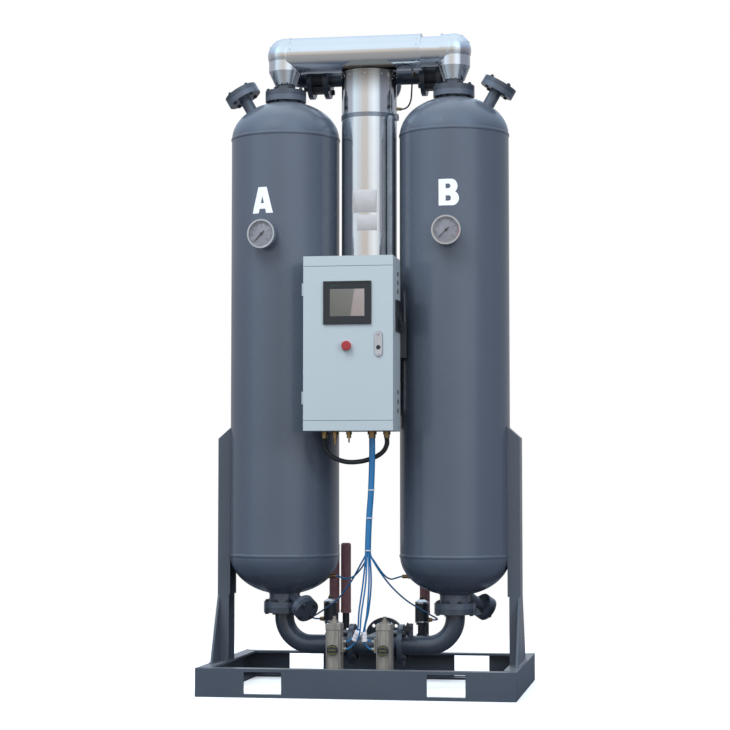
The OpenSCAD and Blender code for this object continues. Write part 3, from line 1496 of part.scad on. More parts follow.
module act_tube_a_high() {
  color(blue) cord(act_a_high_route, tube_d, down, [-1, 0, 0]);
}

module act_tube_a_low() {
  color(blue) cord(act_a_low_route, tube_d, down, [-1, 0, 0]);
}

module act_tube_b_high() {
  color(blue) cord(act_b_high_route, tube_d, down, [1, 0, 0]);
}

module act_tube_b_low() {
  color(blue) cord(act_b_low_route, tube_d, down, [1, 0, 0]);
}

module loop_conduit() {
  color(black) cord(loop_route, loop_d, down, -down, 12);
}

module sensor_cable() {
  color(black) cord(cable_route, cable_d, [0, -1, 0], [-cos(sensor_turn), -sin(sensor_turn), 0],
    ref = [1, 0, 0.2]);
}

front_beam();
rear_beam();
left_beam();
right_beam();
left_upright();
right_upright();
vessel_a();
vessel_b();
desiccant_beds();
bed_screens();
port_covers();
flange_bolts();
gauges();
gauge_lenses();
pointer_a();
pointer_b();
top_manifold();
cladding_straight();
cladding_elbows();
outlet_header();
check_valves();
heater_cladding();
heater_core();
heater_band();
heater_conduit();
purge_line();
cabinet_body();
cabinet_door();
hmi_terminal();
stop_button();
button_collar();
lock_plate();
lock_core();
mounting_plate();
control_modules();
valve_island();
side_fan();
cabinet_bracket();
fittings();
lower_pipes();
inlet_tee();
bleed_knob();
valve_bodies();
valve_disc_a();
valve_disc_b();
actuator_a();
actuator_b();
purge_valves();
silencer_set();
tube_bundle();
tube_a_top();
tube_a_low();
tube_b_top();
tube_b_low();
act_tube_a_high();
act_tube_a_low();
act_tube_b_high();
act_tube_b_low();
loop_conduit();
sensor_cable();
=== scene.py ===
"""Twin-tower desiccant air dryer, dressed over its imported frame.

Every piece is in metres in the frame of the solids: X to the right, Y to the back, Z up.
"""
import logging
import math
from dataclasses import dataclass, field, replace
from enum import Enum
from typing import Any, Dict, List, Optional, Sequence, Tuple

import bmesh
import bpy
import numpy as np
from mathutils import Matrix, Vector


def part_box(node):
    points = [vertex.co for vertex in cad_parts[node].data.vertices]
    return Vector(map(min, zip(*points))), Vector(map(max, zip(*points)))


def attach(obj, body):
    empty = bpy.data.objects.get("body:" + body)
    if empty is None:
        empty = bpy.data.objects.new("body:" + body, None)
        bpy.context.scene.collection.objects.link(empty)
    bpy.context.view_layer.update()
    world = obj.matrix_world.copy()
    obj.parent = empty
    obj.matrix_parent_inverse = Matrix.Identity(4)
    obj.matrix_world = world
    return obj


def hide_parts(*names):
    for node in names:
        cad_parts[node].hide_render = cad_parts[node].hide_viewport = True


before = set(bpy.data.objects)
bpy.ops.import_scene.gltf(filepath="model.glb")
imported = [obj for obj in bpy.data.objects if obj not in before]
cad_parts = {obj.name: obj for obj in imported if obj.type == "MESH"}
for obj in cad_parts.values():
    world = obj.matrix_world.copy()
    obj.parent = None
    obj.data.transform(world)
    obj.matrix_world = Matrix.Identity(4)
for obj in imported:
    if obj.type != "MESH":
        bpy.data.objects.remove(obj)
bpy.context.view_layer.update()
LOG = logging.getLogger("dryer")
Vec = Sequence[float]
Color = Tuple[float, float, float]
Stops = Tuple[Tuple[float, Color], ...]
Socket = bpy.types.NodeSocket
MM = 0.001
# Right, up and out of a piece that faces the front, the top or the right side
FACING = ((1, 0, 0), (0, 0, 1), (0, -1, 0))
UPRIGHT = ((1, 0, 0), (0, 1, 0), (0, 0, 1))
SIDEWAYS = ((0, 1, 0), (0, 0, 1), (1, 0, 0))


class Body(str, Enum):
    """Bodies of the frame that new pieces ride on."""

    FRAME = "frame"
    DOOR = "door"
    BUTTON = "stop_button"
    DISC_A = "valve_disc_a"
    DISC_B = "valve_disc_b"


# Shells: vertices and faces as arrays


@dataclass
class Shell:
    """Vertices and faces of one surface or of several joined ones."""

    verts: np.ndarray
    quads: np.ndarray
    caps: List[List[int]] = field(default_factory=list)

    def moved(self, origin: Vec, right: Vec = FACING[0], up: Vec = FACING[1], out: Vec = FACING[2]) -> "Shell":
        """Local x, y and z carried onto right, up and out from an origin.

        Args:
            origin: Where the shell's own origin goes.
            right: Direction of local x.
            up: Direction of local y.
            out: Direction of local z.

        Returns:
            The shell in its new place.
        """
        axes = np.array([right, up, out], float)
        axes /= np.linalg.norm(axes, axis=1)[:, None]
        return Shell(self.verts @ axes + np.asarray(origin, float), self.quads, self.caps)

    def repeated(self, origins: np.ndarray, right: Vec, up: Vec, out: Vec) -> "Shell":
        """Copies of the shell, one per row of the origins.

        Args:
            origins: Places of the copies, one row each.
            right: Direction of local x, one for all the copies or one row each.
            up: Direction of local y, in the same way.
            out: Direction of local z, in the same way.

        Returns:
            One shell that holds all the copies.
        """
        places = np.asarray(origins, float)
        axes = np.stack([np.broadcast_to(v, places.shape) for v in (right, up, out)], axis=1).astype(float)
        placed = np.einsum("nj,kji->kni", self.verts, axes) + places[:, None, :]
        shift = np.arange(len(placed)) * len(self.verts)
        quads = (self.quads[None] + shift[:, None, None]).reshape(-1, 4)
        caps = [[i + int(s) for i in cap] for s in shift for cap in self.caps]
        return Shell(placed.reshape(-1, 3), quads, caps)

    @staticmethod
    def join(parts: Sequence["Shell"]) -> "Shell":
        """Several shells as one.

        Args:
            parts: The shells.

        Returns:
            The shell of them all.
        """
        starts = np.cumsum([0] + [len(p.verts) for p in parts])
        quads = np.concatenate([p.quads + s for p, s in zip(parts, starts)])
        caps = [[i + int(s) for i in cap] for p, s in zip(parts, starts) for cap in p.caps]
        return Shell(np.concatenate([p.verts for p in parts]), quads, caps)


def circle(count: int) -> np.ndarray:
    """Angles of evenly spaced points round a full circle."""
    return np.linspace(0, 2 * math.pi, count, endpoint=False)


def grid(points: np.ndarray, wrap: bool = True, loop: bool = False, capped: bool = True) -> Shell:
    """Surface through a grid of points: row i, column j joins to the next row and column.

    Args:
        points: Rows by columns by three.
        wrap: The last column joins the first one.
        loop: The last row joins the first one.
        capped: The first and the last row are closed by a flat face.

    Returns:
        The shell of the surface.
    """
    rows, cols = points.shape[:2]
    i, j = np.meshgrid(np.arange(rows if loop else rows - 1), np.arange(cols if wrap else cols - 1), indexing="ij")
    down, side = (i + 1) % rows, (j + 1) % cols
    quads = np.stack([i * cols + j, i * cols + side, down * cols + side, down * cols + j], -1).reshape(-1, 4)
    caps: List[List[int]] = []
    if capped and wrap and not loop:
        caps = [list(range(cols - 1, -1, -1)), list(range((rows - 1) * cols, rows * cols))]
    return Shell(points.reshape(-1, 3), quads, caps)


def turned(profile: Sequence[Tuple[float, float]], sides: int = 48, loop: bool = False) -> Shell:
    """Surface of revolution about local z: each (radius, height) of the profile swept round a circle.

    Args:
        profile: Radius and height of each point.
        sides: Points round the circle.
        loop: The profile closes on itself, as a ring's section does.

    Returns:
        The turned shell.
    """
    r, z = np.array(profile, float).T
    a = circle(sides)
    ring = np.stack([np.cos(a), np.sin(a)], -1)
    points = np.concatenate([r[:, None, None] * ring[None], np.broadcast_to(z[:, None, None], (len(r), sides, 1))], -1)
    return grid(points, loop=loop, capped=not loop)


def arc_band(angles: np.ndarray, section: Sequence[Vec], centre: Vec, right: Vec, up: Vec, out: Vec,
             loop: bool = False) -> Shell:
    """Closed section carried round an arc: centre + radius (cos a right + sin a up) + height out.

    Args:
        angles: Angles of the arc.
        section: Radius and height of each point of the section.
        centre: Middle of the arc.
        right: Direction of angle zero.
        up: Direction of a quarter turn.
        out: Direction of the heights.
        loop: The arc is a full circle.

    Returns:
        The shell of the band.
    """
    r, h = np.array(section, float).T
    ring = np.cos(angles)[:, None] * np.asarray(right, float) + np.sin(angles)[:, None] * np.asarray(up, float)
    return grid(centre + ring[:, None] * r[:, None] + h[:, None] * np.asarray(out, float), loop=loop)


def plate(width: float, height: float, thick: float, corner: float, bevel: float) -> Shell:
    """Flat plate with round corners and a rounded front rim, from z = 0 to its thickness.

    A rounded rectangle is the sum of a small circle and the four corner points; each row of the grid insets it by
    the rim's quarter circle.

    Args:
        width: Size along local x.
        height: Size along local y.
        thick: Size along local z.
        corner: Radius of the corners.
        bevel: Radius of the front rim.

    Returns:
        The shell of the plate.
    """
    a = circle(32) + math.pi / 32
    sign = np.stack([np.sign(np.cos(a)), np.sign(np.sin(a))], -1)
    half = np.array([width / 2 - corner, height / 2 - corner])
    t = np.linspace(0, math.pi / 2, 4)
    inset = np.concatenate([[0.0], bevel * (1 - np.cos(t))])
    rise = np.concatenate([[0.0], thick - bevel + bevel * np.sin(t)])
    radius = np.maximum(corner - inset, 0)[:, None, None]
    spare = np.maximum(inset - corner, 0)[:, None, None]
    flat = sign[None] * (half[None, None] - spare) + radius * np.stack([np.cos(a), np.sin(a)], -1)[None]
    return grid(np.concatenate([flat, np.broadcast_to(rise[:, None, None], flat.shape[:2] + (1,))], -1))


def tube(path: np.ndarray, radius: np.ndarray, sides: int = 16, loop: bool = False, first: Optional[Vec] = None,
         last: Optional[Vec] = None) -> Shell:
    """Round section carried along a path, square to the path's own direction.

    Args:
        path: Points of the centre line.
        radius: One radius for each point, or one for all.
        sides: Points round the section.
        loop: The path closes on itself.
        first: Direction in which the path leaves, where the end face must be square to it.
        last: Direction in which it arrives.

    Returns:
        The swept shell.
    """
    ahead = np.gradient(path, axis=0) if not loop else np.roll(path, -1, 0) - np.roll(path, 1, 0)
    if first is not None:
        ahead[0] = first
    if last is not None:
        ahead[-1] = last
    ahead = ahead / np.linalg.norm(ahead, axis=1)[:, None]
    spread = np.abs(ahead).max(0)
    ref = np.eye(3)[int(np.argmin(spread))] + 0.13
    u = np.cross(ahead, ref)
    u /= np.linalg.norm(u, axis=1)[:, None]
    v = np.cross(ahead, u)
    a = circle(sides)[None, :, None]
    r = np.broadcast_to(np.asarray(radius, float), (len(path),))[:, None, None]
    return grid(path[:, None] + r * (u[:, None] * np.cos(a) + v[:, None] * np.sin(a)), loop=loop, capped=not loop)


def smooth_route(route: Sequence[Vec], first: Vec, last: Vec, steps: int = 7) -> np.ndarray:
    """Points on a Hermite curve through the route, with the slopes of its neighbours and given end directions.

    Args:
        route: Points that the curve goes through.
        first: Direction in which it leaves.
        last: Direction in which it arrives.
        steps: Points from one point of the route to the next.

    Returns:
        The points of the curve.
    """
    p = np.array(route, float)
    slope = np.zeros_like(p)
    slope[1:-1] = (p[2:] - p[:-2]) / 2
    slope[0] = np.asarray(first, float) * np.linalg.norm(p[1] - p[0]) * 0.8
    slope[-1] = np.asarray(last, float) * np.linalg.norm(p[-1] - p[-2]) * 0.8
    t = np.linspace(0, 1, steps, endpoint=False)[None, :, None]
    a, b, ma, mb = p[:-1, None], p[1:, None], slope[:-1, None], slope[1:, None]
    curve = (2 * t**3 - 3 * t**2 + 1) * a + (t**3 - 2 * t**2 + t) * ma + (3 * t**2 - 2 * t**3) * b + (t**3 - t**2) * mb
    return np.concatenate([curve.reshape(-1, 3), p[-1:]])


def straight(start: Vec, end: Vec, count: int) -> np.ndarray:
    """Evenly spaced points from one point to another."""
    t = np.linspace(0, 1, count)[:, None]
    return np.asarray(start, float) * (1 - t) + np.asarray(end, float) * t


def ring_axes(angles: np.ndarray) -> Tuple[np.ndarray, np.ndarray, np.ndarray]:
    """Directions round a vertical axis, angle zero facing the front.

    Args:
        angles: Angles round the axis.

    Returns:
        Tangent, upward and outward directions, one row for each angle.
    """
    out = np.stack([np.sin(angles), -np.cos(angles), 0 * angles], -1)
    side = np.stack([np.cos(angles), np.sin(angles), 0 * angles], -1)
    return side, np.broadcast_to([0.0, 0.0, 1.0], out.shape), out


def node_box(name: str) -> Tuple[np.ndarray, np.ndarray, np.ndarray]:
    """Low corner, high corner and middle of a solid's box."""
    low, high = (np.array(corner, float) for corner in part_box(name))
    return low, high, (low + high) / 2


# Finishes


class Graph:
    """Short way to add nodes to a tree and to join them."""

    def __init__(self, tree: bpy.types.NodeTree) -> None:
        """Keeps the tree."""
        self.tree = tree

    def join(self, node: bpy.types.Node, inputs: Dict[Any, Any]) -> bpy.types.Node:
        """Sets or joins the inputs of a node.

        Args:
            node: The node.
            inputs: A socket to join or a value to set, for each input's name or number.

        Returns:
            The node.
        """
        for key, value in inputs.items():
            if isinstance(value, Socket):
                self.tree.links.new(value, node.inputs[key])
            else:
                node.inputs[key].default_value = value
        return node

    def add(self, kind: str, inputs: Optional[Dict[Any, Any]] = None) -> bpy.types.Node:
        """A new node of a type, given without the common start of its name, with its inputs."""
        return self.join(self.tree.nodes.new("ShaderNode" + kind), inputs or {})

    def group(self, tree: bpy.types.ShaderNodeTree, inputs: Dict[Any, Any]) -> Any:
        """Outputs of a shared group with these inputs."""
        node = self.add("Group")
        node.node_tree = tree
        return self.join(node, inputs).outputs

    def math(self, operation: str, *terms: Any) -> Socket:
        """Result of an operation on one to three terms."""
        node = self.add("Math")
        node.operation = operation
        return self.join(node, dict(enumerate(terms))).outputs[0]

    def vector(self, operation: str, inputs: Dict[Any, Any], result: str = "Vector") -> Socket:
        """Result of an operation on vectors."""
        node = self.add("VectorMath")
        node.operation = operation
        return self.join(node, inputs).outputs[result]

    def mix(self, share: Any, first: Any, second: Any) -> Socket:
        """First colour, which turns into the second as the share grows."""
        node = self.add("Mix")
        node.data_type = "RGBA"
        return self.join(node, {0: share, 6: first, 7: second}).outputs[2]

    def span(self, value: Socket, low: float, high: float, ends: Tuple[Any, Any] = (0.0, 1.0),
             kind: str = "LINEAR") -> Socket:
        """Carries a value from one range to another.

        Args:
            value: The value.
            low: Where the first range starts.
            high: Where it ends.
            ends: Start and end of the second range.
            kind: How the value runs between them.

        Returns:
            The value in the second range.
        """
        node = self.add("MapRange")
        node.interpolation_type = kind
        inputs = {"Value": value, "From Min": low, "From Max": high, "To Min": ends[0], "To Max": ends[1]}
        return self.join(node, inputs).outputs[0]

    def ramp(self, share: Socket, stops: Stops, first: Color, last: Color, kind: str = "LINEAR") -> Socket:
        """Colour along a row of stops.

        Args:
            share: Place along the row, from 0 to 1.
            stops: Place and colour of each stop between the ends.
            first: Colour at 0.
            last: Colour at 1.
            kind: How the colour runs between the stops.

        Returns:
            The colour.
        """
        node = self.add("ValToRGB", {0: share})
        node.color_ramp.interpolation = kind
        elements = node.color_ramp.elements
        elements[0].color, elements[1].color = (*first, 1.0), (*last, 1.0)
        for position, color in stops:
            elements.new(position).color = (*color, 1.0)
        return node.outputs[0]


def shared_group(name: str, inputs: Dict[str, str], outputs: Dict[str, str]) -> Tuple[Graph, Any, bpy.types.Node]:
    """Empty shared group with its sockets.

    Args:
        name: Name of the group.
        inputs: For each kind of socket, the names of the inputs.
        outputs: For each kind of socket, the names of the outputs.

    Returns:
        Its graph, its inputs by name, and the node that takes its outputs.
    """
    tree = bpy.data.node_groups.new(name, "ShaderNodeTree")
    for side, sockets in (("INPUT", inputs), ("OUTPUT", outputs)):
        for kind, names in sockets.items():
            for label in names.split():
                tree.interface.new_socket(label, in_out=side, socket_type="NodeSocket" + kind)
    return Graph(tree), tree.nodes.new("NodeGroupInput").outputs, tree.nodes.new("NodeGroupOutput")


def surface_group() -> bpy.types.ShaderNodeTree:
    """Shared group of uneven colour, uneven gloss and fine relief.

    Two noises of different size mix a base and a second colour, move the roughness between two values and give a
    height for a bump.

    Returns:
        The group.
    """
    graph, given, out = shared_group(
        "uneven_surface", {"Vector": "Vector", "Color": "Color Second", "Float": "Patch Grain Amount Smooth Rough"},
        {"Color": "Color", "Float": "Roughness Height"})
    broad, fine = (graph.add("TexNoise", {"Vector": given["Vector"], "Scale": given[scale],
                                          "Detail": detail}).outputs["Fac"]
                   for scale, detail in (("Patch", 5.0), ("Grain", 3.0)))
    fine_share, mask_low, mask_high = 0.35, 0.5, 0.95
    mask = graph.span(graph.math("MULTIPLY_ADD", fine, fine_share, broad), mask_low, mask_high)
    share = graph.math("MULTIPLY", mask, given["Amount"])
    graph.join(out, {"Color": graph.mix(share, given["Color"], given["Second"]), "Height": fine,
                     "Roughness": graph.span(mask, 0.0, 1.0, (given["Smooth"], given["Rough"]))})
    return graph.tree


LAYER = {"Vector": "Vector", "Float": "Amount", "Color": "Color"}
COAT_ROUGH = 0.12
DUST_SCALE = 18.0
DUST_FROM = 0.55
DUST_COLOR = (0.42, 0.41, 0.39, 1.0)
# Dull brown near the heater's top: partly heating tint, partly painted shade and reflection of the manifold above
SCORCH_AND_SHADE_COLOR = (0.235, 0.215, 0.195, 1.0)
SCORCH_AND_SHADE_FADE = 0.105


def settle_group() -> bpy.types.ShaderNodeTree:
    """Shared group of dust: a mask that is high on upward faces and breaks up with a noise.

    Returns:
        The group.
    """
    graph, given, out = shared_group("settled_dust", LAYER, {"Color": "Color"})
    up = graph.add("SeparateXYZ", {0: graph.add("NewGeometry").outputs["Normal"]}).outputs["Z"]
    noise = graph.add("TexNoise", {"Vector": given["Vector"], "Scale": DUST_SCALE, "Detail": 6.0}).outputs["Fac"]
    part = graph.math("MULTIPLY", graph.span(up, DUST_FROM, 1.0), noise)
    share = graph.math("MULTIPLY", part, given["Amount"])
    graph.join(out, {"Color": graph.mix(share, given["Color"], DUST_COLOR)})
    return graph.tree


def scorch_and_shade_group() -> bpy.types.ShaderNodeTree:
    """Shared group of heating tint and painted shade: the colour turns to a dull brown over the last centimetres below
    a given height.

    Returns:
        The group.
    """
    graph, given, out = shared_group("scorch_and_shade", LAYER, {"Color": "Color"})
    # the brown stands partly for heating tint and partly for painted shade and reflection under the manifold
    height = graph.add("SeparateXYZ", {0: given["Vector"]}).outputs["Z"]
    below = graph.math("SUBTRACT", given["Amount"], height)
    share = graph.span(below, SCORCH_AND_SHADE_FADE, 0.0, kind="SMOOTHSTEP")
    graph.join(out, {"Color": graph.mix(share, given["Color"], SCORCH_AND_SHADE_COLOR)})
    return graph.tree


SURFACE = surface_group()
SETTLED = settle_group()
SCORCHED_AND_SHADED = scorch_and_shade_group()


@dataclass(frozen=True)
class Finish:
    """One finish: colour, gloss and relief of a surface.

    Patch and grain are the scales of the two noises, depth is the bump's height in metres, dust is the share of dust
    on upward faces, and the last field is the height in metres at which the brown of heating tint and painted shade is
    full, or 0 for none.
    """

    name: str
    color: Color
    second: Color
    amount: float = 0.4
    smooth: float = 0.3
    rough: float = 0.45
    metallic: float = 0.0
    patch: float = 6.0
    grain: float = 300.0
    relief: float = 0.05
    depth: float = 0.0004
    stretch: Vec = (1.0, 1.0, 1.0)
    dust: float = 0.0
    coat: float = 0.0
    clear: float = 0.0
    glow: float = 0.0
    scorch_and_shade_top: float = 0.0

    def material(self) -> bpy.types.Material:
        """The finish as a material, made once.

        Returns:
            The material.
        """
        found = bpy.data.materials.get(self.name)
        if found is not None:
            return found
        mat = bpy.data.materials.new(self.name)
        mat.use_nodes = True
        graph = Graph(mat.node_tree)
        place = graph.add("TexCoord").outputs["Object"]
        vector = graph.add("Mapping", {"Vector": place, "Scale": tuple(self.stretch)}).outputs[0]
        surface = graph.group(SURFACE, {
            "Vector": vector, "Color": (*self.color, 1.0), "Second": (*self.second, 1.0), "Patch": self.patch,
            "Grain": self.grain, "Amount": self.amount, "Smooth": self.smooth, "Rough": self.rough})
        color = surface["Color"]
        for effect, amount in ((SETTLED, self.dust), (SCORCHED_AND_SHADED, self.scorch_and_shade_top)):
            if amount > 0:
                color = graph.group(effect, {"Vector": place, "Amount": amount, "Color": color})["Color"]
        bump = graph.add("Bump", {"Strength": self.relief, "Distance": self.depth, "Height": surface["Height"]})
        inputs = {"Base Color": color, "Roughness": surface["Roughness"], "Normal": bump.outputs[0],
                  "Metallic": self.metallic, "Coat Weight": self.coat, "Coat Roughness": COAT_ROUGH,
                  "Transmission Weight": self.clear}
        if self.glow > 0:
            inputs.update({"Emission Color": color, "Emission Strength": self.glow})
        graph.join(mat.node_tree.nodes["Principled BSDF"], inputs)
        return mat


ENAMEL = Finish("tower_enamel", (0.096, 0.113, 0.147), (0.074, 0.090, 0.119), 0.5, 0.22, 0.34, patch=3.0, grain=420.0,
                relief=0.10, dust=0.25, coat=0.35)
SKID_ENAMEL = Finish("skid_enamel", (0.074, 0.089, 0.114), (0.092, 0.104, 0.126), 0.5, 0.30, 0.46, patch=7.0,
                     grain=380.0, relief=0.12, dust=0.5, coat=0.2)
# Darker copy of the tower enamel: painted shade of the pipes, covers and headers that sit under the tower heads and the
# cladding
SHADED_PIPE_ENAMEL = Finish("pipe_enamel_painted_shade", (0.058, 0.069, 0.090), (0.044, 0.053, 0.070), 0.5, 0.20, 0.32, patch=5.0,
                     grain=380.0, relief=0.04, coat=0.3)
POLISHED = Finish("polished_sheet", (0.80, 0.81, 0.82), (0.66, 0.67, 0.69), 0.35, 0.07, 0.16, 1.0, 2.6, 26.0, 0.05,
                  0.004, (1.0, 1.0, 0.5))
# Painted shade and reflection of the manifold above, with some heating tint, darken the heater's sheet near its top
HEATER_SHEET = replace(POLISHED, name="heater_sheet", scorch_and_shade_top=2.262)
ZINC = Finish("bright_zinc", (0.66, 0.67, 0.69), (0.45, 0.46, 0.48), 0.5, 0.22, 0.42, 1.0, 30.0, 500.0, 0.06)
BAND_STEEL = replace(ZINC, name="band_steel", color=(0.30, 0.32, 0.35), second=(0.22, 0.23, 0.26))
CABINET = Finish("cabinet_powder", (0.500, 0.555, 0.565), (0.460, 0.515, 0.530), 0.4, 0.36, 0.48, patch=4.0,
                 grain=900.0, relief=0.16, dust=0.12)
BLACK_METAL = Finish("satin_black", (0.022, 0.024, 0.029), (0.045, 0.047, 0.052), 0.5, 0.34, 0.5, patch=14.0,
                     grain=420.0, relief=0.14, dust=0.3)
CAST_BLUE = Finish("valve_enamel", (0.040, 0.052, 0.082), (0.055, 0.068, 0.098), 0.5, 0.3, 0.45, patch=10.0,
                   grain=260.0, relief=0.2, dust=0.3)
ANODISED = Finish("grey_anodised", (0.440, 0.395, 0.340), (0.190, 0.166, 0.140), 0.9, 0.36, 0.52, 0.40, 70.0, 260.0,
                  0.12, 0.0004, (1.0, 1.0, 0.12))
BLACK_PLASTIC = Finish("grained_black", (0.020, 0.021, 0.024), (0.030, 0.031, 0.034), 0.4, 0.42, 0.56, patch=20.0,
                       grain=1100.0, relief=0.18)
RED_PLASTIC = Finish("stop_red", (0.400, 0.040, 0.045), (0.330, 0.030, 0.036), 0.4, 0.22, 0.34, patch=60.0, grain=600.0,
                     relief=0.04)
BRASS = Finish("turned_brass", (0.330, 0.225, 0.110), (0.210, 0.140, 0.070), 0.6, 0.24, 0.42, 1.0, 60.0, 700.0, 0.08)
GLASS = Finish("lens_glass", (1.0, 1.0, 1.0), (0.96, 0.98, 0.98), 0.2, 0.0, 0.03, patch=4.0, grain=40.0, relief=0.0,
               clear=1.0)
BEADS = Finish("desiccant_beads", (0.80, 0.77, 0.70), (0.62, 0.58, 0.50), 0.8, 0.7, 0.9, patch=120.0, grain=260.0,
               relief=0.9, depth=0.003)
SILENCER = Finish("sintered_red", (0.400, 0.180, 0.180), (0.270, 0.125, 0.130), 0.8, 0.6, 0.8, patch=60.0, grain=700.0,
                  relief=0.6, depth=0.001)
BLUE_TUBE = Finish("tube_blue", (0.022, 0.185, 0.410), (0.016, 0.140, 0.330), 0.5, 0.22, 0.34, patch=18.0, grain=300.0,
                   relief=0.03, coat=0.2)
RUBBER = Finish("black_conduit", (0.014, 0.015, 0.017), (0.030, 0.030, 0.032), 0.4, 0.38, 0.55, patch=30.0, grain=600.0,
                relief=0.1)
WHITE_PAINT = Finish("letter_white", (0.96, 0.96, 0.96), (0.91, 0.92, 0.93), 0.4, 0.32, 0.44, patch=20.0, grain=500.0,
                     relief=0.05)
DIAL_WHITE = Finish("dial_white", (0.44, 0.44, 0.49), (0.38, 0.37, 0.43), 0.5, 0.4, 0.5, patch=40.0, grain=400.0,
                    relief=0.02)
DIAL_INK = Finish("dial_ink", (0.012, 0.013, 0.016), (0.020, 0.021, 0.024), 0.3, 0.5, 0.6, patch=30.0, relief=0.0)
DIAL_RED = Finish("dial_red", (0.45, 0.045, 0.040), (0.38, 0.035, 0.035), 0.3, 0.5, 0.6, patch=30.0, relief=0.0)
MARK = Finish("mark_yellow", (0.155, 0.150, 0.030), (0.110, 0.106, 0.024), 0.4, 0.4, 0.5, patch=40.0, relief=0.02)
SCREEN = Finish("display_glass", (0.105, 0.105, 0.092), (0.125, 0.118, 0.108), 0.6, 0.05, 0.10, patch=9.0, grain=60.0,
                relief=0.0, coat=0.6, glow=0.35)
PLATE_GREY = Finish("bare_plate", (0.53, 0.50, 0.49), (0.45, 0.43, 0.43), 0.6, 0.30, 0.42, 0.15, 30.0, 600.0, 0.05)
GALVANISED = Finish("galvanised", (0.30, 0.32, 0.35), (0.20, 0.22, 0.25), 0.6, 0.30, 0.46, 0.9, 24.0, 300.0, 0.08)
TIE_WHITE = Finish("tie_white", (0.80, 0.78, 0.78), (0.72, 0.68, 0.68), 0.4, 0.35, 0.5, patch=60.0, relief=0.03)
WRAP_PINK = Finish("wrap_pink", (0.84, 0.74, 0.75), (0.86, 0.86, 0.88), 0.9, 0.4, 0.55, patch=70.0, relief=0.1)
LAMP_GREEN = Finish("lamp_green", (0.05, 0.26, 0.08), (0.04, 0.20, 0.06), 0.3, 0.2, 0.3, patch=60.0, relief=0.0)
MODULE_GREY = Finish("module_grey", (0.20, 0.21, 0.22), (0.27, 0.28, 0.29), 0.5, 0.4, 0.55, patch=26.0, grain=900.0,
                     relief=0.1)
WELD = Finish("painted_weld", (0.090, 0.112, 0.152), (0.066, 0.083, 0.117), 0.6, 0.26, 0.4, patch=30.0, grain=120.0,
              relief=0.35, depth=0.001, coat=0.3)
PALE_FLOOR = Finish("pale_floor", (0.95, 0.955, 0.96), (0.93, 0.935, 0.94), 0.3, 0.7, 0.8, patch=0.8, grain=30.0,
                    relief=0.0)


def piece(name: str, shell: Shell, finish: Finish, body: Body, smooth: bool = True) -> bpy.types.Object:
    """Makes a shell into an object that rides on a body.

    Args:
        name: Name of the new piece.
        shell: Its vertices and faces.
        finish: What it is finished with.
        body: The body that it moves with.
        smooth: Faces are shaded as one smooth surface, with sharp edges kept.

    Returns:
        The object.
    """
    mesh = bpy.data.meshes.new(name)
    mesh.from_pydata(shell.verts.tolist(), [], shell.quads.tolist() + shell.caps)
    work = bmesh.new()
    work.from_mesh(mesh)
    bmesh.ops.recalc_face_normals(work, faces=work.faces)
    work.to_mesh(mesh)
    work.free()
    mesh.polygons.foreach_set("use_smooth", np.full(len(mesh.polygons), smooth))
    mesh.materials.append(finish.material())
    obj = bpy.data.objects.new(name, mesh)
    bpy.context.scene.collection.objects.link(obj)
    if smooth:
        mesh.set_sharp_from_angle(angle=math.radians(40))
    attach(obj, body.value)
    LOG.info("piece %s: %d faces", name, len(mesh.polygons))
    return obj


def words(text: str, size: float) -> Shell:
    """A short dial number as flat faces in local x and y, centred.

    Args:
        text: The number.
        size: Height of its line.

    Returns:
        The shell of the faces.
    """
    curve = bpy.data.curves.new("dial_number", "FONT")
    curve.body, curve.size = text, size
    curve.align_x, curve.align_y = "CENTER", "CENTER"
    holder = bpy.data.objects.new("dial_number", curve)
    bpy.context.scene.collection.objects.link(holder)
    mesh = bpy.data.meshes.new_from_object(holder.evaluated_get(bpy.context.evaluated_depsgraph_get()))
    verts = np.empty(len(mesh.vertices) * 3)
    mesh.vertices.foreach_get("co", verts)
    faces = [list(p.vertices) for p in mesh.polygons]
    bpy.data.objects.remove(holder)
    bpy.data.meshes.remove(mesh)
    return Shell(verts.reshape(-1, 3), np.zeros((0, 4), int), faces)


# Sub-assemblies


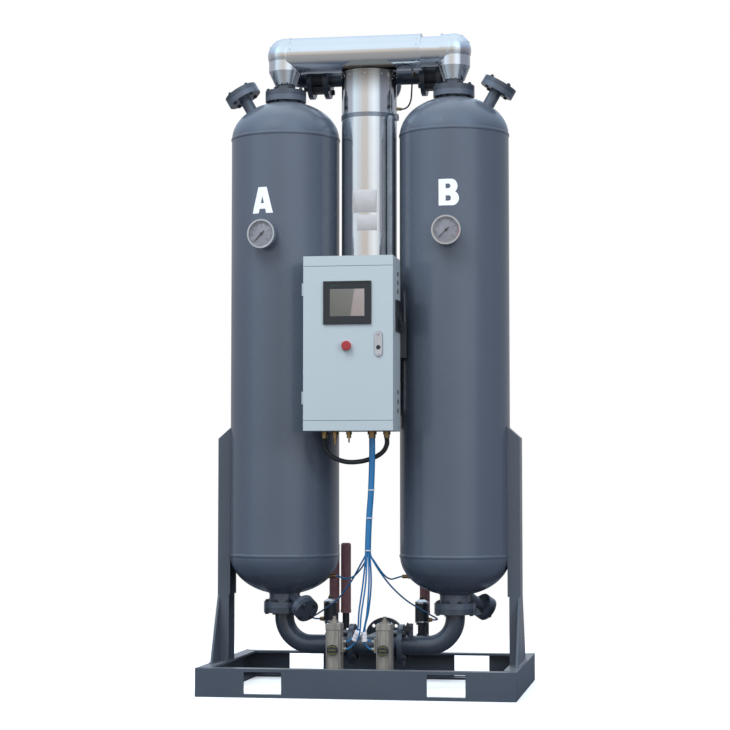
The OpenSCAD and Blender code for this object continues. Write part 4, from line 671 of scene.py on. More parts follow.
@dataclass
class Studio:
    """Camera, floor and soft light.

    The dome's colours run by height, from straight down at 0 to straight up at 1, and the colours of around run by
    degrees to the right of the camera. Ground takes the place of the dome's first three stops in reflections.
    """

    eye: Vec = (1.1717, -7.2412, 0.7383)
    yaw: float = 9.393
    pitch: float = 3.486
    lens: float = 97.94
    floor_half: float = 6.0
    floor_drop: float = 0.0005
    near: float = 1.1
    far: float = 3.2
    floor_glow: float = 0.25
    floor_mirrored: Tuple[float, ...] = (0.07, 0.08, 0.10, 1.0)
    dome_power: float = 1.2
    dome_ends: Tuple[Color, Color] = ((0.03, 0.04, 0.06), (0.74, 0.88, 1.0))
    dome: Stops = (
        (0.18, (0.05, 0.06, 0.08)), (0.34, (0.11, 0.13, 0.16)), (0.46, (0.25, 0.27, 0.30)),
        (0.505, (0.42, 0.39, 0.37)), (0.57, (0.46, 0.44, 0.43)), (0.62, (0.50, 0.52, 0.55)),
        (0.70, (0.60, 0.72, 0.86)), (0.85, (0.67, 0.82, 0.98)))
    ground: Stops = ((0.10, (0.20, 0.21, 0.23)), (0.34, (0.26, 0.27, 0.29)), (0.46, (0.28, 0.285, 0.30)))
    around_power: float = 2.1
    around_end: Color = (0.38, 0.40, 0.43)
    around: Stops = (
        (-80, (0.36, 0.38, 0.42)), (-62, (0.40, 0.44, 0.50)), (-46, (0.68, 0.80, 0.88)), (-22, (0.62, 0.67, 0.70)),
        (-8, (0.60, 0.58, 0.55)), (9, (0.60, 0.58, 0.55)), (22, (0.74, 0.78, 0.80)), (38, (0.86, 0.93, 0.98)),
        (54, (0.72, 0.80, 0.86)), (68, (0.24, 0.26, 0.31)), (120, (0.24, 0.26, 0.31)))
    around_heights: Tuple[float, float] = (0.40, 0.92)
    lamps: Tuple[Tuple[str, Vec, float, float], ...] = (
        ("key", (-1.3, -2.6, 4.8), 2.2, 108.0), ("fill", (5.5, -4.4, 3.0), 3.0, 135.0),
        ("rear", (0.5, 5.5, 5.0), 4.0, 260.0))
    lamp_aim: Vec = (0.0, 0.0, 1.1)

    def camera(self) -> None:
        """Camera at the photograph's place and angle."""
        data = bpy.data.cameras.new("camera")
        data.lens, data.sensor_width, data.sensor_fit = self.lens, 36.0, "HORIZONTAL"
        data.clip_end = 200.0
        cam = bpy.data.objects.new("camera", data)
        cam.location = self.eye
        cam.rotation_euler = (math.radians(90 + self.pitch), 0.0, math.radians(self.yaw))
        bpy.context.scene.collection.objects.link(cam)
        bpy.context.scene.camera = cam

    def floor(self) -> None:
        """Pale flat floor of two by two points that fades out with the distance and is dark in reflections."""
        ends = [-self.floor_half, self.floor_half]
        x, y = np.meshgrid(ends, ends, indexing="ij")
        shell = grid(np.stack([x, y, 0 * x - self.floor_drop], -1), wrap=False, capped=False)
        mesh = bpy.data.meshes.new("floor")
        mesh.from_pydata(shell.verts.tolist(), [], shell.quads[:, ::-1].tolist())
        mat = PALE_FLOOR.material()
        graph = Graph(mat.node_tree)
        shader = mat.node_tree.nodes["Principled BSDF"]
        seen = shader.inputs["Base Color"].links[0].from_socket
        away = graph.vector("LENGTH", {0: graph.add("TexCoord").outputs["Object"]}, "Value")
        direct = graph.add("LightPath").outputs["Is Camera Ray"]
        graph.join(shader, {
            "Alpha": graph.span(away, self.near, self.far, (1.0, 0.0), "SMOOTHSTEP"),
            "Base Color": graph.mix(direct, self.floor_mirrored, seen), "Emission Color": seen,
            "Emission Strength": graph.math("MULTIPLY", direct, self.floor_glow), "Specular IOR Level": 0.1})
        mesh.materials.append(mat)
        obj = bpy.data.objects.new("floor", mesh)
        bpy.context.scene.collection.objects.link(obj)

    def light(self) -> None:
        """Dome and three large soft lamps.

        The dome's colour by height is multiplied by its colour round the camera, whose share fades out toward the top.
        Lamps do not show in reflections, and the camera itself sees plain white.
        """
        world = bpy.data.worlds.new("dome")
        bpy.context.scene.world = world
        world.use_nodes = True
        world.node_tree.nodes.clear()
        graph = Graph(world.node_tree)
        way = graph.add("SeparateXYZ", {0: graph.add("TexCoord").outputs["Generated"]}).outputs
        path = graph.add("LightPath").outputs
        level = graph.span(way["Z"], -1.0, 1.0)
        lit, mirrored = (graph.ramp(level, stops, *self.dome_ends)
                         for stops in (self.dome, self.ground + self.dome[3:]))
        tone = graph.mix(path["Is Glossy Ray"], lit, mirrored)
        turn = graph.math("ARCTAN2", way["X"], graph.math("MULTIPLY", way["Y"], -1.0))
        share = graph.span(turn, math.radians(-180.0 - self.yaw), math.radians(180.0 - self.yaw))
        stops = tuple(((degrees + 180.0) / 360.0, color) for degrees, color in self.around)
        side = graph.ramp(share, stops, self.around_end, self.around_end, "EASE")
        bright = graph.vector("SCALE", {0: side, "Scale": self.around_power})
        white = (1.0, 1.0, 1.0, 1.0)
        factor = graph.mix(graph.span(way["Z"], *self.around_heights, (1.0, 0.0)), white, bright)
        dome = graph.add("Background", {"Color": graph.vector("MULTIPLY", {0: tone, 1: factor}),
                                        "Strength": self.dome_power})
        plain = graph.add("Background", {"Color": white, "Strength": 1.0})
        sky = graph.add("MixShader", {0: path["Is Camera Ray"], 1: dome.outputs[0], 2: plain.outputs[0]})
        graph.add("OutputWorld", {"Surface": sky.outputs[0]})
        for name, place, size, power in self.lamps:
            lamp = bpy.data.lights.new(name, "AREA")
            lamp.shape, lamp.size, lamp.energy = "DISK", size, power
            obj = bpy.data.objects.new(name, lamp)
            obj.location = place
            aim = np.array(self.lamp_aim) - np.array(place)
            flat = math.hypot(aim[0], aim[1])
            obj.rotation_euler = (math.atan2(flat, -aim[2]), 0.0, math.atan2(-aim[0], aim[1]))
            obj.visible_glossy = False
            bpy.context.scene.collection.objects.link(obj)
        bpy.context.scene.view_settings.view_transform = "Standard"


@dataclass
class Cords:
    """Blue air tubes with their ties and wraps, the black conduit loop and the sensor cable, in millimetres."""

    split: Vec = (34.0, -300.0, 506.0)
    bundle_d: float = 22.0
    tube_d: float = 6.0
    loop_d: float = 18.0
    cable_d: float = 6.0
    rib_depth: float = 1.0
    rib_pitch: float = 5.2
    ties_at: Tuple[Tuple[Vec, float], ...] = (
        ((46.8, -300, 724), 11.4), ((40.0, -300, 625), 11.4), ((34.4, -300, 511), 11.5))
    tie_half: float = 1.6
    wraps_at: Tuple[Tuple[Vec, Vec], ...] = (
        ((-14, -301, 196), (1, -311, 228)), ((21, -297, 192), (19, -299, 226)))
    wrap_r: float = 10.4

    def leave(self, turn: float) -> Vec:
        """Place where a tube leaves the end of the bundle.

        Args:
            turn: Degrees round the bundle.

        Returns:
            The place.
        """
        r = (self.bundle_d - self.tube_d) / 2
        a = math.radians(turn)
        return (self.split[0] + r * math.cos(a), self.split[1] + r * math.sin(a), self.split[2])

    def routes(self) -> Dict[str, Tuple[List[Vec], Vec, Vec, float, str]]:
        """Route of every cord.

        The glands' level, the fittings on the lower heads, on the purge valves and on the actuators, and the sensor on
        the heater are named first.

        Returns:
            Points, end directions, diameter and stiffness of each cord.
        """
        low = 908.0
        hx, hz = 121.0, 410.0
        down = (0.0, 0.0, -1.0)
        px, py, pz = 211.0, 92.0, 244.0
        ax, ay, az = 46.0, -290.0, (190.0, 164.0)
        s = math.radians(25.0)
        sx, sy, sz = 124 * math.cos(s), -60 + 124 * math.sin(s), 2136.0
        blue = self.tube_d
        return {
            "tube_bundle": ([(49, -300, low), (49, -300, low - 70), (45, -300, low - 188), (38, -300, low - 288),
                             self.split], down, down, self.bundle_d, "medium"),
            "tube_a_top": ([self.leave(112), (18, -266, 470), (-12, -210, 436), (-44, -155, 412), (-74, -105, 402),
                            (-98, -72, 404), (-hx, -60, hz)], down, (-1, 0, 0), blue, "medium"),
            "tube_a_low": ([self.leave(157), (2, -284, 456), (-46, -205, 392), (-104, -115, 332), (-158, -40, 296),
                            (-198, 10, 272), (-px - 19, 50, 254), (-px - 19, 79, pz + 2), (-px, py, pz)],
                           down, (1, 0, 0), blue, "medium"),
            "tube_b_top": ([self.leave(67), (52, -262, 470), (66, -205, 434), (76, -150, 412), (86, -100, 402),
                            (98, -72, 404), (hx, -60, hz)], down, (1, 0, 0), blue, "medium"),
            "tube_b_low": ([self.leave(22), (64, -285, 452), (100, -205, 384), (140, -115, 330), (176, -40, 296),
                            (206, 10, 272), (px + 19, 50, 254), (px + 19, 79, pz + 2), (px, py, pz)],
                           down, (-1, 0, 0), blue, "medium"),
            "act_tube_a_high": ([self.leave(202), (18, -308, 400), (4, -310, 300), (-2, -306, 236),
                                 (-ax + 22, ay - 3, az[0] + 13), (-ax, ay, az[0])], down, (-1, 0, 0), blue, "medium"),
            "act_tube_a_low": ([self.leave(247), (29, -318, 400), (14, -322, 290), (5, -314, 214),
                                (-ax + 24, ay - 4, az[1] + 14), (-ax, ay, az[1])], down, (-1, 0, 0), blue, "medium"),
            "act_tube_b_high": ([self.leave(337), (46, -303, 400), (36, -298, 300), (22, -292, 240),
                                 (ax - 18, ay, az[0] + 14), (ax, ay, az[0])], down, (1, 0, 0), blue, "medium"),
            "act_tube_b_low": ([self.leave(292), (40, -314, 400), (32, -312, 290), (18, -304, 216),
                                (ax - 20, ay - 2, az[1] + 14), (ax, ay, az[1])], down, (1, 0, 0), blue, "medium"),
            "loop_conduit": ([(98, -276, low), (98, -276, low - 22), (86, -276, low - 46), (58, -276, low - 66),
                              (8, -276, low - 82), (-48, -276, low - 84), (-94, -276, low - 68), (-120, -276, low - 42),
                              (-126, -276, low - 20), (-126, -276, low)], down, (0, 0, 1), self.loop_d, "stiff"),
            "sensor_cable": ([(150, 52, 2280), (150, 36, 2278), (150, 20, 2266), (150, 11, 2244), (149, 7, 2208),
                              (146, 5, sz + 36), (sx + 22, sy + 9, sz + 10), (sx, sy, sz)], (0, -1, 0),
                             (-math.cos(s), -math.sin(s), 0), self.cable_d, "medium"),
        }

    def build(self) -> None:
        for name, (route, first, last, diameter, stiffness) in self.routes().items():
            ribbed = name == "loop_conduit"
            path = smooth_route(np.array(route) * MM, first, last, 50 if ribbed else 9)
            along = np.concatenate([[0], np.cumsum(np.linalg.norm(np.diff(path, axis=0), axis=1))])
            rib = self.rib_depth / 2 * (1 - np.cos(2 * math.pi * along / (self.rib_pitch * MM)))
            radius = (diameter / 2 - ribbed * rib) * MM
            finish, slot = BLUE_TUBE, "blue_tube"
            if name in ("loop_conduit", "sensor_cable"):
                finish, slot = RUBBER, "black_rubber"
            obj = piece(name + "_cord", tube(path, radius, 20, first=first, last=last), finish, Body.FRAME)
            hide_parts(name)

    def ties(self) -> None:
        """White tie bands round the bundle, each a flat loop with a small head."""
        head = plate(5 * MM, 4 * MM, 3 * MM, 1 * MM, 0.8 * MM)
        bands = []
        for place, r in self.ties_at:
            centre = np.array(place) * MM
            section = np.array([(r + grow, rise * self.tie_half) for grow, rise in ((0, -1), (1, -1), (1, 1), (0, 1))])
            bands.append(arc_band(circle(40), section * MM, centre, *UPRIGHT, loop=True))
            bands.append(head.moved(centre - np.array([0.0, r + 0.8, 0.0]) * MM))
        piece("bundle_ties", Shell.join(bands), TIE_WHITE, Body.FRAME)

    def wraps(self) -> None:
        """Two short wraps round the actuator tubes, with a slightly wavy radius."""
        radius = (self.wrap_r + 0.6 * np.sin(np.arange(15) * 1.3)) * MM
        parts = [tube(straight(low, high, 15) * MM, radius, 24) for low, high in self.wraps_at]
        piece("tube_wraps", Shell.join(parts), WRAP_PINK, Body.FRAME)


@dataclass
class Towers:
    """Letters, gauge dials and weld seams of the two towers."""

    x: float = 0.315
    y: float = -0.060
    radius: float = 0.200
    letter_half: float = 0.0475
    letter_leg: float = 0.0255
    paint_in: float = -0.0002
    paint_out: float = 0.0005
    gauge_z: float = 1.643
    gauge_turns: Tuple[float, float] = (9.0, 0.0)
    dial_at: float = 0.242
    dial_r: float = 0.046
    tick_r: float = 0.0405
    number_r: float = 0.0275
    number_size: float = 0.0095
    number_h: float = 0.0012
    limit_r: Tuple[float, float] = (0.0428, 0.0446)
    face_h: float = 0.0010
    ink_h: float = 0.0003
    numbers: Tuple[str, ...] = ("0", "4", "8", "12", "16")
    scale_start: float = 225.0
    scale_sweep: float = 270.0
    neck_r: float = 0.0568
    neck_levels: Tuple[float, float] = (2.1582, 0.3478)
    seam_turn: float = 155.0

    def wrap(self, side: int, flat: np.ndarray, proud: float) -> np.ndarray:
        """Carries flat points onto a tower's wall, the distance across becoming an angle round the axis.

        Args:
            side: -1 for tower A and 1 for tower B.
            flat: Distance across from the tower's front line, and height, of each point.
            proud: How far the points stand off the wall.

        Returns:
            The points.
        """
        a = flat[..., 0] / self.radius
        r = self.radius + proud
        return np.stack([side * self.x + r * np.sin(a), self.y - r * np.cos(a), flat[..., 1]], -1)

    def band(self, side: int, one: np.ndarray, other: np.ndarray) -> Shell:
        """Thin slab of paint on a tower's wall between two edge lines.

        Args:
            side: -1 for tower A and 1 for tower B.
            one: Flat points of the first edge.
            other: Flat points of the second edge, as many.

        Returns:
            The shell of the slab.
        """
        low, high = self.paint_in, self.paint_out
        ring = [self.wrap(side, edge, proud) for edge, proud in ((one, low), (one, high), (other, high), (other, low))]
        return grid(np.stack(ring, 1))

    def letters(self) -> None:
        """Bold tower letters, each made of slabs: level-footed legs and a bar, or a stem and two half-round bowls."""
        h, leg = self.letter_half, self.letter_leg
        t = np.linspace(0, 1, 24)
        cx, cz, w, top, hole = -0.046, 1.772, 0.0405, 0.0165, 0.063
        z = cz - h + 2 * h * t
        outer = -w + (w - top) * t
        inner = np.minimum(0.0, (leg - w) * (1 - (z - cz + h) / hole))
        legs = [self.band(-1, np.c_[cx + m * outer, z], np.c_[cx + m * inner, z]) for m in (-1, 1)]
        x = np.linspace(cx - 0.016, cx + 0.016, 8)
        bar = self.band(-1, np.c_[x, 0 * x + cz - h + 0.016], np.c_[x, 0 * x + cz - h + 0.036])
        piece("tower_letter_a", Shell.join(legs + [bar]), WHITE_PAINT, Body.FRAME)
        left, low = 0.004 - 0.0365, 1.784 - h

        def outline(high: float, deep: float, reach: float, bend: float) -> np.ndarray:
            """Level line from the stem, half ellipse and level line back.

            Args:
                high: Height of the upper line.
                deep: Height of the lower line.
                reach: How far the bowl goes to the right.
                bend: Width of the half ellipse.

            Returns:
                Flat points of the outline.
            """
            x = np.linspace(left, left + reach - bend, 8)
            a = np.linspace(0, math.pi, 26)
            mid, half = low + (high + deep) / 2, (high - deep) / 2
            arc = np.c_[left + reach - bend + bend * np.sin(a), mid + half * np.cos(a)]
            return np.concatenate([np.c_[x, 0 * x + low + high], arc, np.c_[x[::-1], 0 * x + low + deep]])

        z = low + 2 * h * t
        stem = self.band(1, np.c_[0 * z + left, z], np.c_[0 * z + left + leg, z])
        upper = self.band(1, outline(2 * h, 0.044, 0.068, 0.022), outline(0.078, 0.061, 0.043, 0.008))
        lower = self.band(1, outline(0.052, 0.0, 0.073, 0.024), outline(0.036, 0.0165, 0.045, 0.009))
        piece("tower_letter_b", Shell.join([stem, upper, lower]), WHITE_PAINT, Body.FRAME)

    def gauge_axes(self, index: int) -> Tuple[np.ndarray, np.ndarray, np.ndarray]:
        """Directions of a dial as someone in front sees it.

        Args:
            index: 0 for tower A and 1 for tower B.

        Returns:
            Right, up and outward directions.
        """
        a = math.radians(self.gauge_turns[index])
        out = np.array([-math.sin(a), -math.cos(a), 0.0])
        return np.array([math.cos(a), -math.sin(a), 0.0]), np.array([0.0, 0.0, 1.0]), out

    def dials(self) -> None:
        """Dial faces with ticks, numbers and a limit arc, on the floor of each gauge case."""
        a = np.radians(self.scale_start - np.linspace(0, self.scale_sweep, 33))
        long = np.arange(33) % 4 == 0
        step = self.scale_sweep / (len(self.numbers) - 1)
        limit = np.radians(np.linspace(22.5, -45, 30))
        (inner, outer), top = self.limit_r, self.face_h + self.ink_h
        section = ((inner, self.face_h), (inner, top), (outer, top), (outer, self.face_h))
        for index, tag in enumerate("ab"):
            axes = right, up, out = self.gauge_axes(index)
            centre = np.array([(2 * index - 1) * self.x, self.y, self.gauge_z]) + out * self.dial_at
            face = turned([(self.dial_r, 0.0), (self.dial_r, 0.0007), (self.dial_r - 0.0004, self.face_h)], 72)
            piece(f"gauge_face_{tag}", face.moved(centre, *axes), DIAL_WHITE, Body.FRAME)
            radial = np.c_[np.cos(a), np.sin(a)] @ np.stack([right, up])
            across = np.c_[-np.sin(a), np.cos(a)] @ np.stack([right, up])
            inks = []
            for chosen, length, width in ((long, 0.0075, 0.0016), (~long, 0.0045, 0.0008)):
                bar = plate(width, length, self.ink_h, width * 0.2, 0.0001)
                where = centre + out * self.face_h + radial[chosen] * (self.tick_r - length / 2)
                inks.append(bar.repeated(where, across[chosen], radial[chosen], out))
            for k, label in enumerate(self.numbers):
                b = math.radians(self.scale_start - step * k)
                spot = centre + out * self.number_h + (right * math.cos(b) + up * math.sin(b)) * self.number_r
                inks.append(words(label, self.number_size).moved(spot, *axes))
            piece(f"gauge_scale_{tag}", Shell.join(inks), DIAL_INK, Body.FRAME, smooth=False)
            piece(f"gauge_limit_{tag}", arc_band(limit, section, centre, *axes), DIAL_RED, Body.FRAME)

    def welds(self) -> None:
        """Rippled weld rings where necks meet the heads, and a long seam down the back of each tower."""
        a = circle(240)
        beads = []
        for side in (-1, 1):
            for z in self.neck_levels:
                path = np.stack([side * self.x + self.neck_r * np.cos(a), self.y + self.neck_r * np.sin(a),
                                 z + 0 * a], -1)
                beads.append(tube(path, 0.0020 + 0.0003 * np.cos(60 * a), 8, loop=True))
            z = np.linspace(0.50, 2.006, 420)
            b, r = math.radians(self.seam_turn * side), self.radius - 0.0002
            line = np.stack([side * self.x + r * math.sin(b) + 0 * z, self.y - r * math.cos(b) + 0 * z, z], -1)
            beads.append(tube(line, 0.0026 + 0.0004 * np.cos(z * 900), 8))
        piece("tower_welds", Shell.join(beads), WELD, Body.FRAME)


@dataclass
class Cladding:
    """Rivets and lap seam of the polished sheet, and the bare plates on the heater."""

    heater_r: float = 0.102
    axis_y: float = -0.060
    manifold_z: float = 2.336
    jacket_r: float = 0.067
    lap_turn: float = 66.0
    lap_half: float = 6.0
    lap_ends: Tuple[float, float] = (0.002, 0.008)
    lap_rivets: int = 18
    ring_rivets: int = 20
    ring_drop: float = 0.018
    rivet_inset: float = 0.03
    plates_at: Tuple[Tuple[str, float, float, float, float], ...] = (
        ("heater_plate_wide", -0.048, 0.045, 1.732, 1.815), ("heater_plate_small", -0.029, 0.045, 1.666, 1.723))

    def rivet(self) -> Shell:
        """Dome rivet 5 mm across."""
        return turned([(0.0026, -0.0004), (0.0026, 0.0003), (0.0021, 0.0010), (0.0011, 0.0014)], 10)

    def heater(self) -> None:
        """Vertical lap on the heater's sheet, with rivets down it and a ring of rivets near the top."""
        low, high, _ = node_box("heater_cladding")
        axis = np.array([0.0, self.axis_y, 0.0])
        a = np.radians(np.linspace(self.lap_turn - self.lap_half, self.lap_turn + self.lap_half, 8))
        ring = np.stack([np.sin(a), -np.cos(a)], -1)
        section = np.concatenate([ring * (self.heater_r - 0.0003), ring[::-1] * (self.heater_r + 0.0006)]) + axis[:2]
        ends = (low[2] + self.lap_ends[0], high[2] - self.lap_ends[1])
        strip = np.stack([np.c_[section, np.full(len(section), z)] for z in ends])
        piece("heater_lap", grid(strip), HEATER_SHEET, Body.FRAME)
        rivets = []
        levels = np.linspace(low[2] + self.rivet_inset, high[2] - self.rivet_inset, self.lap_rivets)
        for angles, z in ((np.full(self.lap_rivets, math.radians(self.lap_turn)), levels),
                          (circle(self.ring_rivets), np.full(self.ring_rivets, high[2] - self.ring_drop))):
            axes = ring_axes(angles)
            where = axis + axes[2] * self.heater_r + z[:, None] * [0.0, 0.0, 1.0]
            rivets.append(self.rivet().repeated(where, *axes))
        piece("heater_rivets", Shell.join(rivets), ZINC, Body.FRAME)

    def plates(self) -> None:
        """Two bare plates bent round the heater: each row of the grid is an outline, the last one inset as a bevel."""
        for name, x0, x1, z0, z1 in self.plates_at:
            angle = np.linspace(x0, x1, 12) / self.heater_r
            rows = []
            for proud, inset in ((-0.0002, 0.0), (0.0008, 0.0), (0.0012, 0.0006)):
                r = self.heater_r + proud
                edge = np.stack([r * np.sin(angle), self.axis_y - r * np.cos(angle)], -1)
                rows.append(np.concatenate([np.c_[edge, np.full(12, z0 + inset)],
                                            np.c_[edge[::-1], np.full(12, z1 - inset)]]))
            piece(name, grid(np.stack(rows)), PLATE_GREY, Body.FRAME)

    def manifold(self) -> None:
        """Rivets round both ends and along the lower lap of the level sheet."""
        low, high, _ = node_box("cladding_straight")
        ring, lap = circle(14), np.full(9, math.radians(150.0))
        rivets = []
        for a, x in ((ring, low[0] + 0.012 + 0 * ring), (ring, high[0] - 0.014 + 0 * ring),
                     (lap, np.linspace(low[0] + 0.05, high[0] - 0.05, 9))):
            out = np.stack([0 * a, np.sin(a), np.cos(a)], -1)
            where = np.stack([x, 0 * x + self.axis_y, 0 * x + self.manifold_z], -1) + out * self.jacket_r
            rivets.append(self.rivet().repeated(where, (1, 0, 0), np.cross(out, [1.0, 0.0, 0.0]), out))
        piece("manifold_rivets", Shell.join(rivets), ZINC, Body.FRAME)


@dataclass
class Cabinet:
    """Display, stop button, lock, vents and fan guard of the control cabinet."""

    front: float = -0.388
    right: float = 0.137
    vent_y: float = -0.274
    vents: Tuple[float, ...] = (1.004, 1.037, 1.070, 1.429, 1.460, 1.491)
    glass_w: float = 0.1234
    glass_h: float = 0.0964
    glass_in: float = 0.0015
    lamp_x: float = -0.056
    lamp_step: float = 0.011
    lamp_rise: float = 0.060
    bezel_corner: float = 0.003
    bezel_rim: Tuple[Vec, ...] = (
        (0.0852, 0.0757, 0.0), (0.0846, 0.0751, 0.0010), (0.0790, 0.0695, 0.0010), (0.0784, 0.0689, 0.0))
    slant_x: float = 0.019
    slant_blur: float = 0.003
    slope: float = 0.14
    # Colour of the painted reflection on the display's right part
    slant_reflection_color: Tuple[float, ...] = (0.300, 0.238, 0.222, 1.0)
    lock_bend: float = 0.013
    screw_inset: float = 0.008
    guard_rings: Tuple[float, ...] = (0.012, 0.024, 0.036, 0.048)
    guard_reach: float = 0.050
    wire_r: float = 0.0011

    def terminal(self) -> None:
        """Display glass in the bezel's recess, a row of small lamps above it and a rounded rim round the bezel."""
        low, _, (x, _, z) = node_box("hmi_terminal")
        glass = plate(self.glass_w, self.glass_h, 0.0012, 0.0015, 0.0003)
        piece("display_glass", glass.moved((x, low[1] + self.glass_in, z)), SCREEN, Body.DOOR)
        self.slant(x, z)
        lamp = turned([(0.0016, -0.0002), (0.0016, 0.0004), (0.0009, 0.0009)], 12)
        where = np.array([[x + self.lamp_x + self.lamp_step * k, low[1], z + self.lamp_rise] for k in range(3)])
        piece("display_lamps", lamp.repeated(where, *FACING), LAMP_GREEN, Body.DOOR)
        a = circle(64) + math.pi / 64
        ring, corner = np.stack([np.cos(a), np.sin(a)], -1), self.bezel_corner
        rows = []
        for half_w, half_h, depth in self.bezel_rim:
            flat = np.sign(ring) * (np.array([half_w, half_h]) - corner) + corner * ring
            rows.append(np.c_[x + flat[:, 0], np.full(64, low[1] + 0.0002 - depth), z + flat[:, 1]])
        piece("bezel_rim", grid(np.stack(rows), loop=True), BLACK_PLASTIC, Body.DOOR)

    def slant(self, x: float, z: float) -> None:
        """Painted reflection on the display glass: a paler right part, past a slanting line, mixed into its own finish.

        Args:
            x: Middle of the display across.
            z: Middle of the display in height.
        """
        tree = SCREEN.material().node_tree
        graph, shader = Graph(tree), tree.nodes["Principled BSDF"]
        place = graph.add("TexCoord").outputs["Object"]
        along = graph.vector("DOT_PRODUCT", {0: place, 1: (1.0, 0.0, -self.slope)}, "Value")
        line = x + self.slant_x - self.slope * z
        seen = shader.inputs["Base Color"].links[0].from_socket
        share = graph.span(along, line - self.slant_blur, line + self.slant_blur)
        graph.join(shader, {"Base Color": graph.mix(share, seen, self.slant_reflection_color)})

    def stop(self) -> None:
        """Low cap over the stop button's head, a quarter ellipse with a flat middle turned round, and a bare ring."""
        low, high, (x, _, z) = node_box("stop_button")
        r = (high[0] - low[0]) / 2
        t = np.linspace(0, math.pi / 2, 9)
        dome = np.c_[r * (0.62 + 0.37 * np.cos(t)), -0.0010 + 0.0016 * np.sin(t)]
        profile = [(r * 0.98, -0.0042), *dome, (r * 0.40, 0.0007), (r * 0.16, 0.0008)]
        piece("stop_cap", turned(profile, 56).moved((x, low[1], z)), RED_PLASTIC, Body.BUTTON)
        section = [(0.0150, 0.0), (0.0205, 0.0), (0.0205, 0.0006), (0.0200, 0.0010), (0.0150, 0.0010)]
        ring = turned(section, 48, loop=True).moved((x, self.front, z))
        piece("stop_ring", ring, PLATE_GREY, Body.DOOR)

    def lock(self) -> None:
        """Black gasket round the lock plate, a section carried round a long oval, and two screws in the plate."""
        low, high, (x, _, z) = node_box("lock_plate")
        half = (high[2] - low[2]) / 2
        a = circle(64)
        rise = np.sign(np.sin(a)) * (half - self.lock_bend)
        rows = []
        for r, depth in ((0.0128, 0.0), (0.0139, 0.0), (0.0139, 0.0010), (0.0128, 0.0010)):
            rows.append(np.c_[x + r * np.cos(a), np.full(64, self.front - depth), z + rise + r * np.sin(a)])
        piece("lock_gasket", grid(np.stack(rows), loop=True), BLACK_PLASTIC, Body.DOOR)
        screw = turned([(0.0034, -0.0002), (0.0034, 0.0006), (0.0026, 0.0013), (0.0012, 0.0015)], 20)
        where = np.array([[x, low[1], z + end * (half - self.screw_inset)] for end in (1, -1)])
        piece("lock_screws", screw.repeated(where, *FACING), ZINC, Body.DOOR)

    def vents_and_fan(self) -> None:
        """Black vent bushes on the right side and the wire guard of the fan: four rings and two crossing wires."""
        bush = turned([(0.0055, -0.003), (0.0068, -0.003), (0.0068, 0.0), (0.0092, 0.0), (0.0088, 0.0014),
                       (0.0070, 0.0020), (0.0055, 0.0012)], 28, loop=True)
        where = np.array([[self.right, self.vent_y, z] for z in self.vents])
        piece("vent_bushes", bush.repeated(where, *SIDEWAYS), BLACK_PLASTIC, Body.FRAME)
        _, high, (_, y, z) = node_box("side_fan")
        a, s = circle(72), np.linspace(-self.guard_reach, self.guard_reach, 12)
        wires = []
        for r in self.guard_rings:
            path = np.stack([0 * a + high[0] + 0.0008, y + r * np.cos(a), z + r * np.sin(a)], -1)
            wires.append(tube(path, self.wire_r, 8, loop=True))
        for b in (math.pi / 4, 3 * math.pi / 4):
            path = np.stack([0 * s + high[0] + 0.0004, y + s * math.cos(b), z + s * math.sin(b)], -1)
            wires.append(tube(path, self.wire_r, 8))
        piece("fan_guard", Shell.join(wires), BLACK_METAL, Body.FRAME)


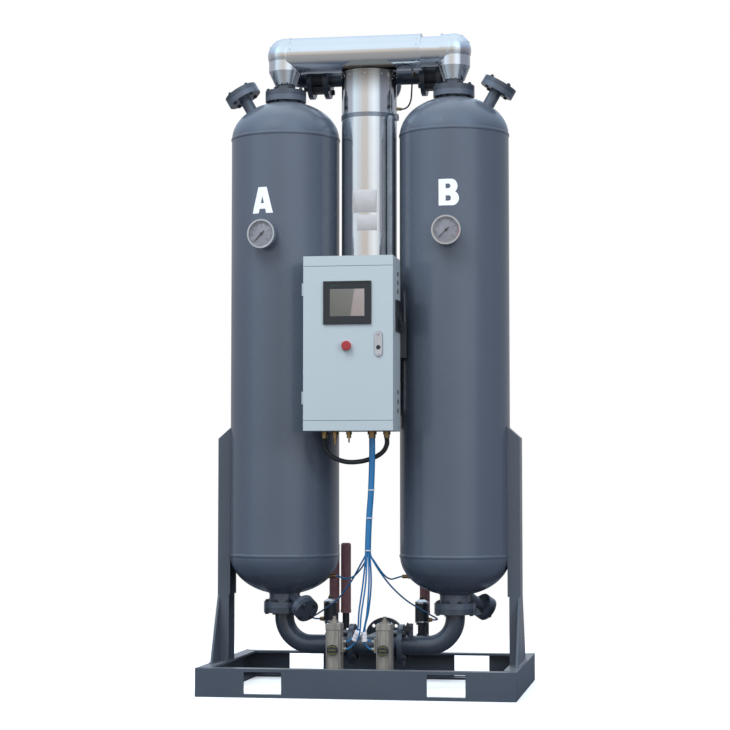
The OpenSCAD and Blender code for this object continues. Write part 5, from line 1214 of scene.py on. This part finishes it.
@dataclass
class Lower:
    """Marks, screws and seams of the actuators, bright trim of the purge valves and beads of the skid's welds."""

    valve_x: float = 0.090
    act_front: float = -0.312
    act_half: float = 0.090
    act_depth: float = 0.075
    disc_out: float = 0.016
    cap_x: float = 0.019
    cap_y: float = 0.029
    seam_x: float = 0.0205
    seam_z: float = 0.0695
    seam_in: float = 0.0012
    level: float = 0.162
    purge_x: float = 0.172
    purge_y: float = 0.092
    rim_levels: Tuple[float, float] = (0.2345, 0.3048)
    cone_level: float = 0.3101
    nipple_level: float = 0.3254
    foot_x: float = 0.5555

    def marks(self) -> None:
        """Yellow ring arcs and bar on each position indicator; they turn with the disc."""
        section = ((0.0125, 0.0), (0.0125, 0.0006), (0.0158, 0.0006), (0.0158, 0.0))
        bar = plate(0.024, 0.0035, 0.0006, 0.001, 0.0002)
        for side, body in ((-1, Body.DISC_A), (1, Body.DISC_B)):
            low = node_box(body.value)[0]
            centre = np.array([side * self.valve_x, self.act_front - self.disc_out, self.level])
            parts = [arc_band(np.radians(np.linspace(start, start + 110, 24)), section, centre, *FACING)
                     for start in (35.0, 215.0)]
            parts.append(bar.moved((centre[0], low[1], centre[2])))
            piece(f"{body.value}_mark", Shell.join(parts), MARK, body)

    def screws(self) -> None:
        """Socket screws on the actuators' end caps, and dark seam lines on their fronts."""
        head = turned([(0.0042, -0.0003), (0.0042, 0.0030), (0.0037, 0.0036), (0.0022, 0.0036), (0.0020, 0.0016)], 16)
        spots, seams = [], []
        for x in (-self.valve_x, self.valve_x):
            spots += [[x + dx, self.act_front + self.act_depth / 2 + dy, self.level + end * self.act_half, end]
                      for dx in (-self.cap_x, self.cap_x) for dy in (-self.cap_y, self.cap_y) for end in (1, -1)]
            y = self.act_front + self.seam_in
            seams += [(0.050, 0.0022, (x, y, self.level + dz)) for dz in (-self.seam_z, self.seam_z)]
            seams += [(0.0016, 0.136, (x + dx, y, self.level)) for dx in (-self.seam_x, self.seam_x)]
        places = np.array(spots)
        end = places[:, 3:]
        screws = head.repeated(places[:, :3], (1, 0, 0), end * [0, 1, 0], end * [0, 0, 1])
        piece("actuator_screws", screws, ZINC, Body.FRAME)
        lines = [plate(width, height, 0.0006, 0.0006, 0.0002).moved(place) for width, height, place in seams]
        piece("actuator_seams", Shell.join(lines), BLACK_METAL, Body.FRAME, smooth=False)

    def purge_trim(self) -> None:
        """Bright rims and cone on the heads of the purge valves, with a turned nipple on top."""
        rim = [(0.0238, 0.0), (0.0254, 0.0), (0.0254, 0.0050), (0.0238, 0.0050)]
        cone = [(0.0228, 0.0), (0.0233, 0.0004), (0.0116, 0.0086), (0.0108, 0.0080)]
        nipple = [(0.0040, 0.0), (0.0066, 0.0), (0.0066, 0.0030), (0.0056, 0.0042), (0.0056, 0.0076), (0.0040, 0.0076)]
        bright, nipples = [], []
        for x in (-self.purge_x, self.purge_x):
            for profile, z in ((rim, self.rim_levels[0]), (rim, self.rim_levels[1]), (cone, self.cone_level)):
                bright.append(turned(profile, 48, loop=True).moved((x, self.purge_y, z), *UPRIGHT))
            nipples.append(turned(nipple, 28, loop=True).moved((x, self.purge_y, self.nipple_level), *UPRIGHT))
        piece("purge_rims", Shell.join(bright), ZINC, Body.FRAME)
        piece("purge_nipples", Shell.join(nipples), BRASS, Body.FRAME)

    def skid_welds(self) -> None:
        """Fillet beads along the feet of the uprights and across the mitred corners."""
        ripple = 0.0034 + 0.0004 * np.cos(np.arange(160) * 0.9)
        beads = []
        for side in (-1, 1):
            x = side * self.foot_x
            beads.append(tube(straight((x, -0.222, 0.1015), (x, 0.102, 0.1015), 160), ripple, 8))
            for end in (-1, 1):
                mitre = straight((side * 0.5632, end * 0.4032, 0.1), (side * 0.516, end * 0.356, 0.1), 160)
                beads.append(tube(mitre, ripple * 0.45, 8))
        piece("skid_welds", Shell.join(beads), WELD, Body.FRAME)


@dataclass
class NodeFinishes:
    """Finishes of the solids that stay as they are."""

    groups: Tuple[Tuple[Finish, str], ...] = (
        (SKID_ENAMEL, "front_beam rear_beam left_beam right_beam left_upright right_upright"),
        (ENAMEL, "vessel_a vessel_b"),
        (SHADED_PIPE_ENAMEL, "port_covers top_manifold outlet_header purge_line lower_pipes inlet_tee"),
        (POLISHED, "cladding_straight cladding_elbows"), (HEATER_SHEET, "heater_cladding"),
        (ZINC, "bed_screens gauges button_collar mounting_plate"), (BAND_STEEL, "heater_band"),
        (GALVANISED, "heater_conduit"), (PLATE_GREY, "lock_plate"), (BRASS, "fittings"),
        (BLACK_METAL, "check_valves cabinet_bracket valve_disc_a valve_disc_b purge_valves flange_bolts lock_core"),
        (BLACK_PLASTIC, "hmi_terminal side_fan bleed_knob"), (DIAL_INK, "pointer_a pointer_b"),
        (RED_PLASTIC, "stop_button"), (GLASS, "gauge_lenses"), (BEADS, "desiccant_beds"),
        (ANODISED, "heater_core valve_island actuator_a actuator_b"), (CABINET, "cabinet_body cabinet_door"),
        (MODULE_GREY, "control_modules"), (CAST_BLUE, "valve_bodies"), (SILENCER, "silencer_set"))

    def dress(self) -> None:
        """Gives every node but the cords its finish."""
        table = {name: finish for finish, names in self.groups for name in names.split()}
        cords = set(Cords().routes())
        for name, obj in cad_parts.items():
            if name in cords:
                continue
            obj.data.materials.clear()
            obj.data.materials.append(table[name].material())
            LOG.info("node %s: %s", name, table[name].name)


def main() -> None:
    """Builds the camera and the cords, then every sub-assembly."""
    logging.basicConfig(level=logging.INFO, format="%(name)s %(message)s")
    studio = Studio()
    studio.camera()
    cords = Cords()
    cords.build()
    cords.ties()
    cords.wraps()
    NodeFinishes().dress()
    towers = Towers()
    towers.letters()
    towers.dials()
    towers.welds()
    cladding = Cladding()
    cladding.heater()
    cladding.plates()
    cladding.manifold()
    cabinet = Cabinet()
    cabinet.terminal()
    cabinet.stop()
    cabinet.lock()
    cabinet.vents_and_fan()
    lower = Lower()
    lower.marks()
    lower.screws()
    lower.purge_trim()
    lower.skid_welds()
    studio.floor()
    studio.light()


if __name__ == "__main__":
    main()
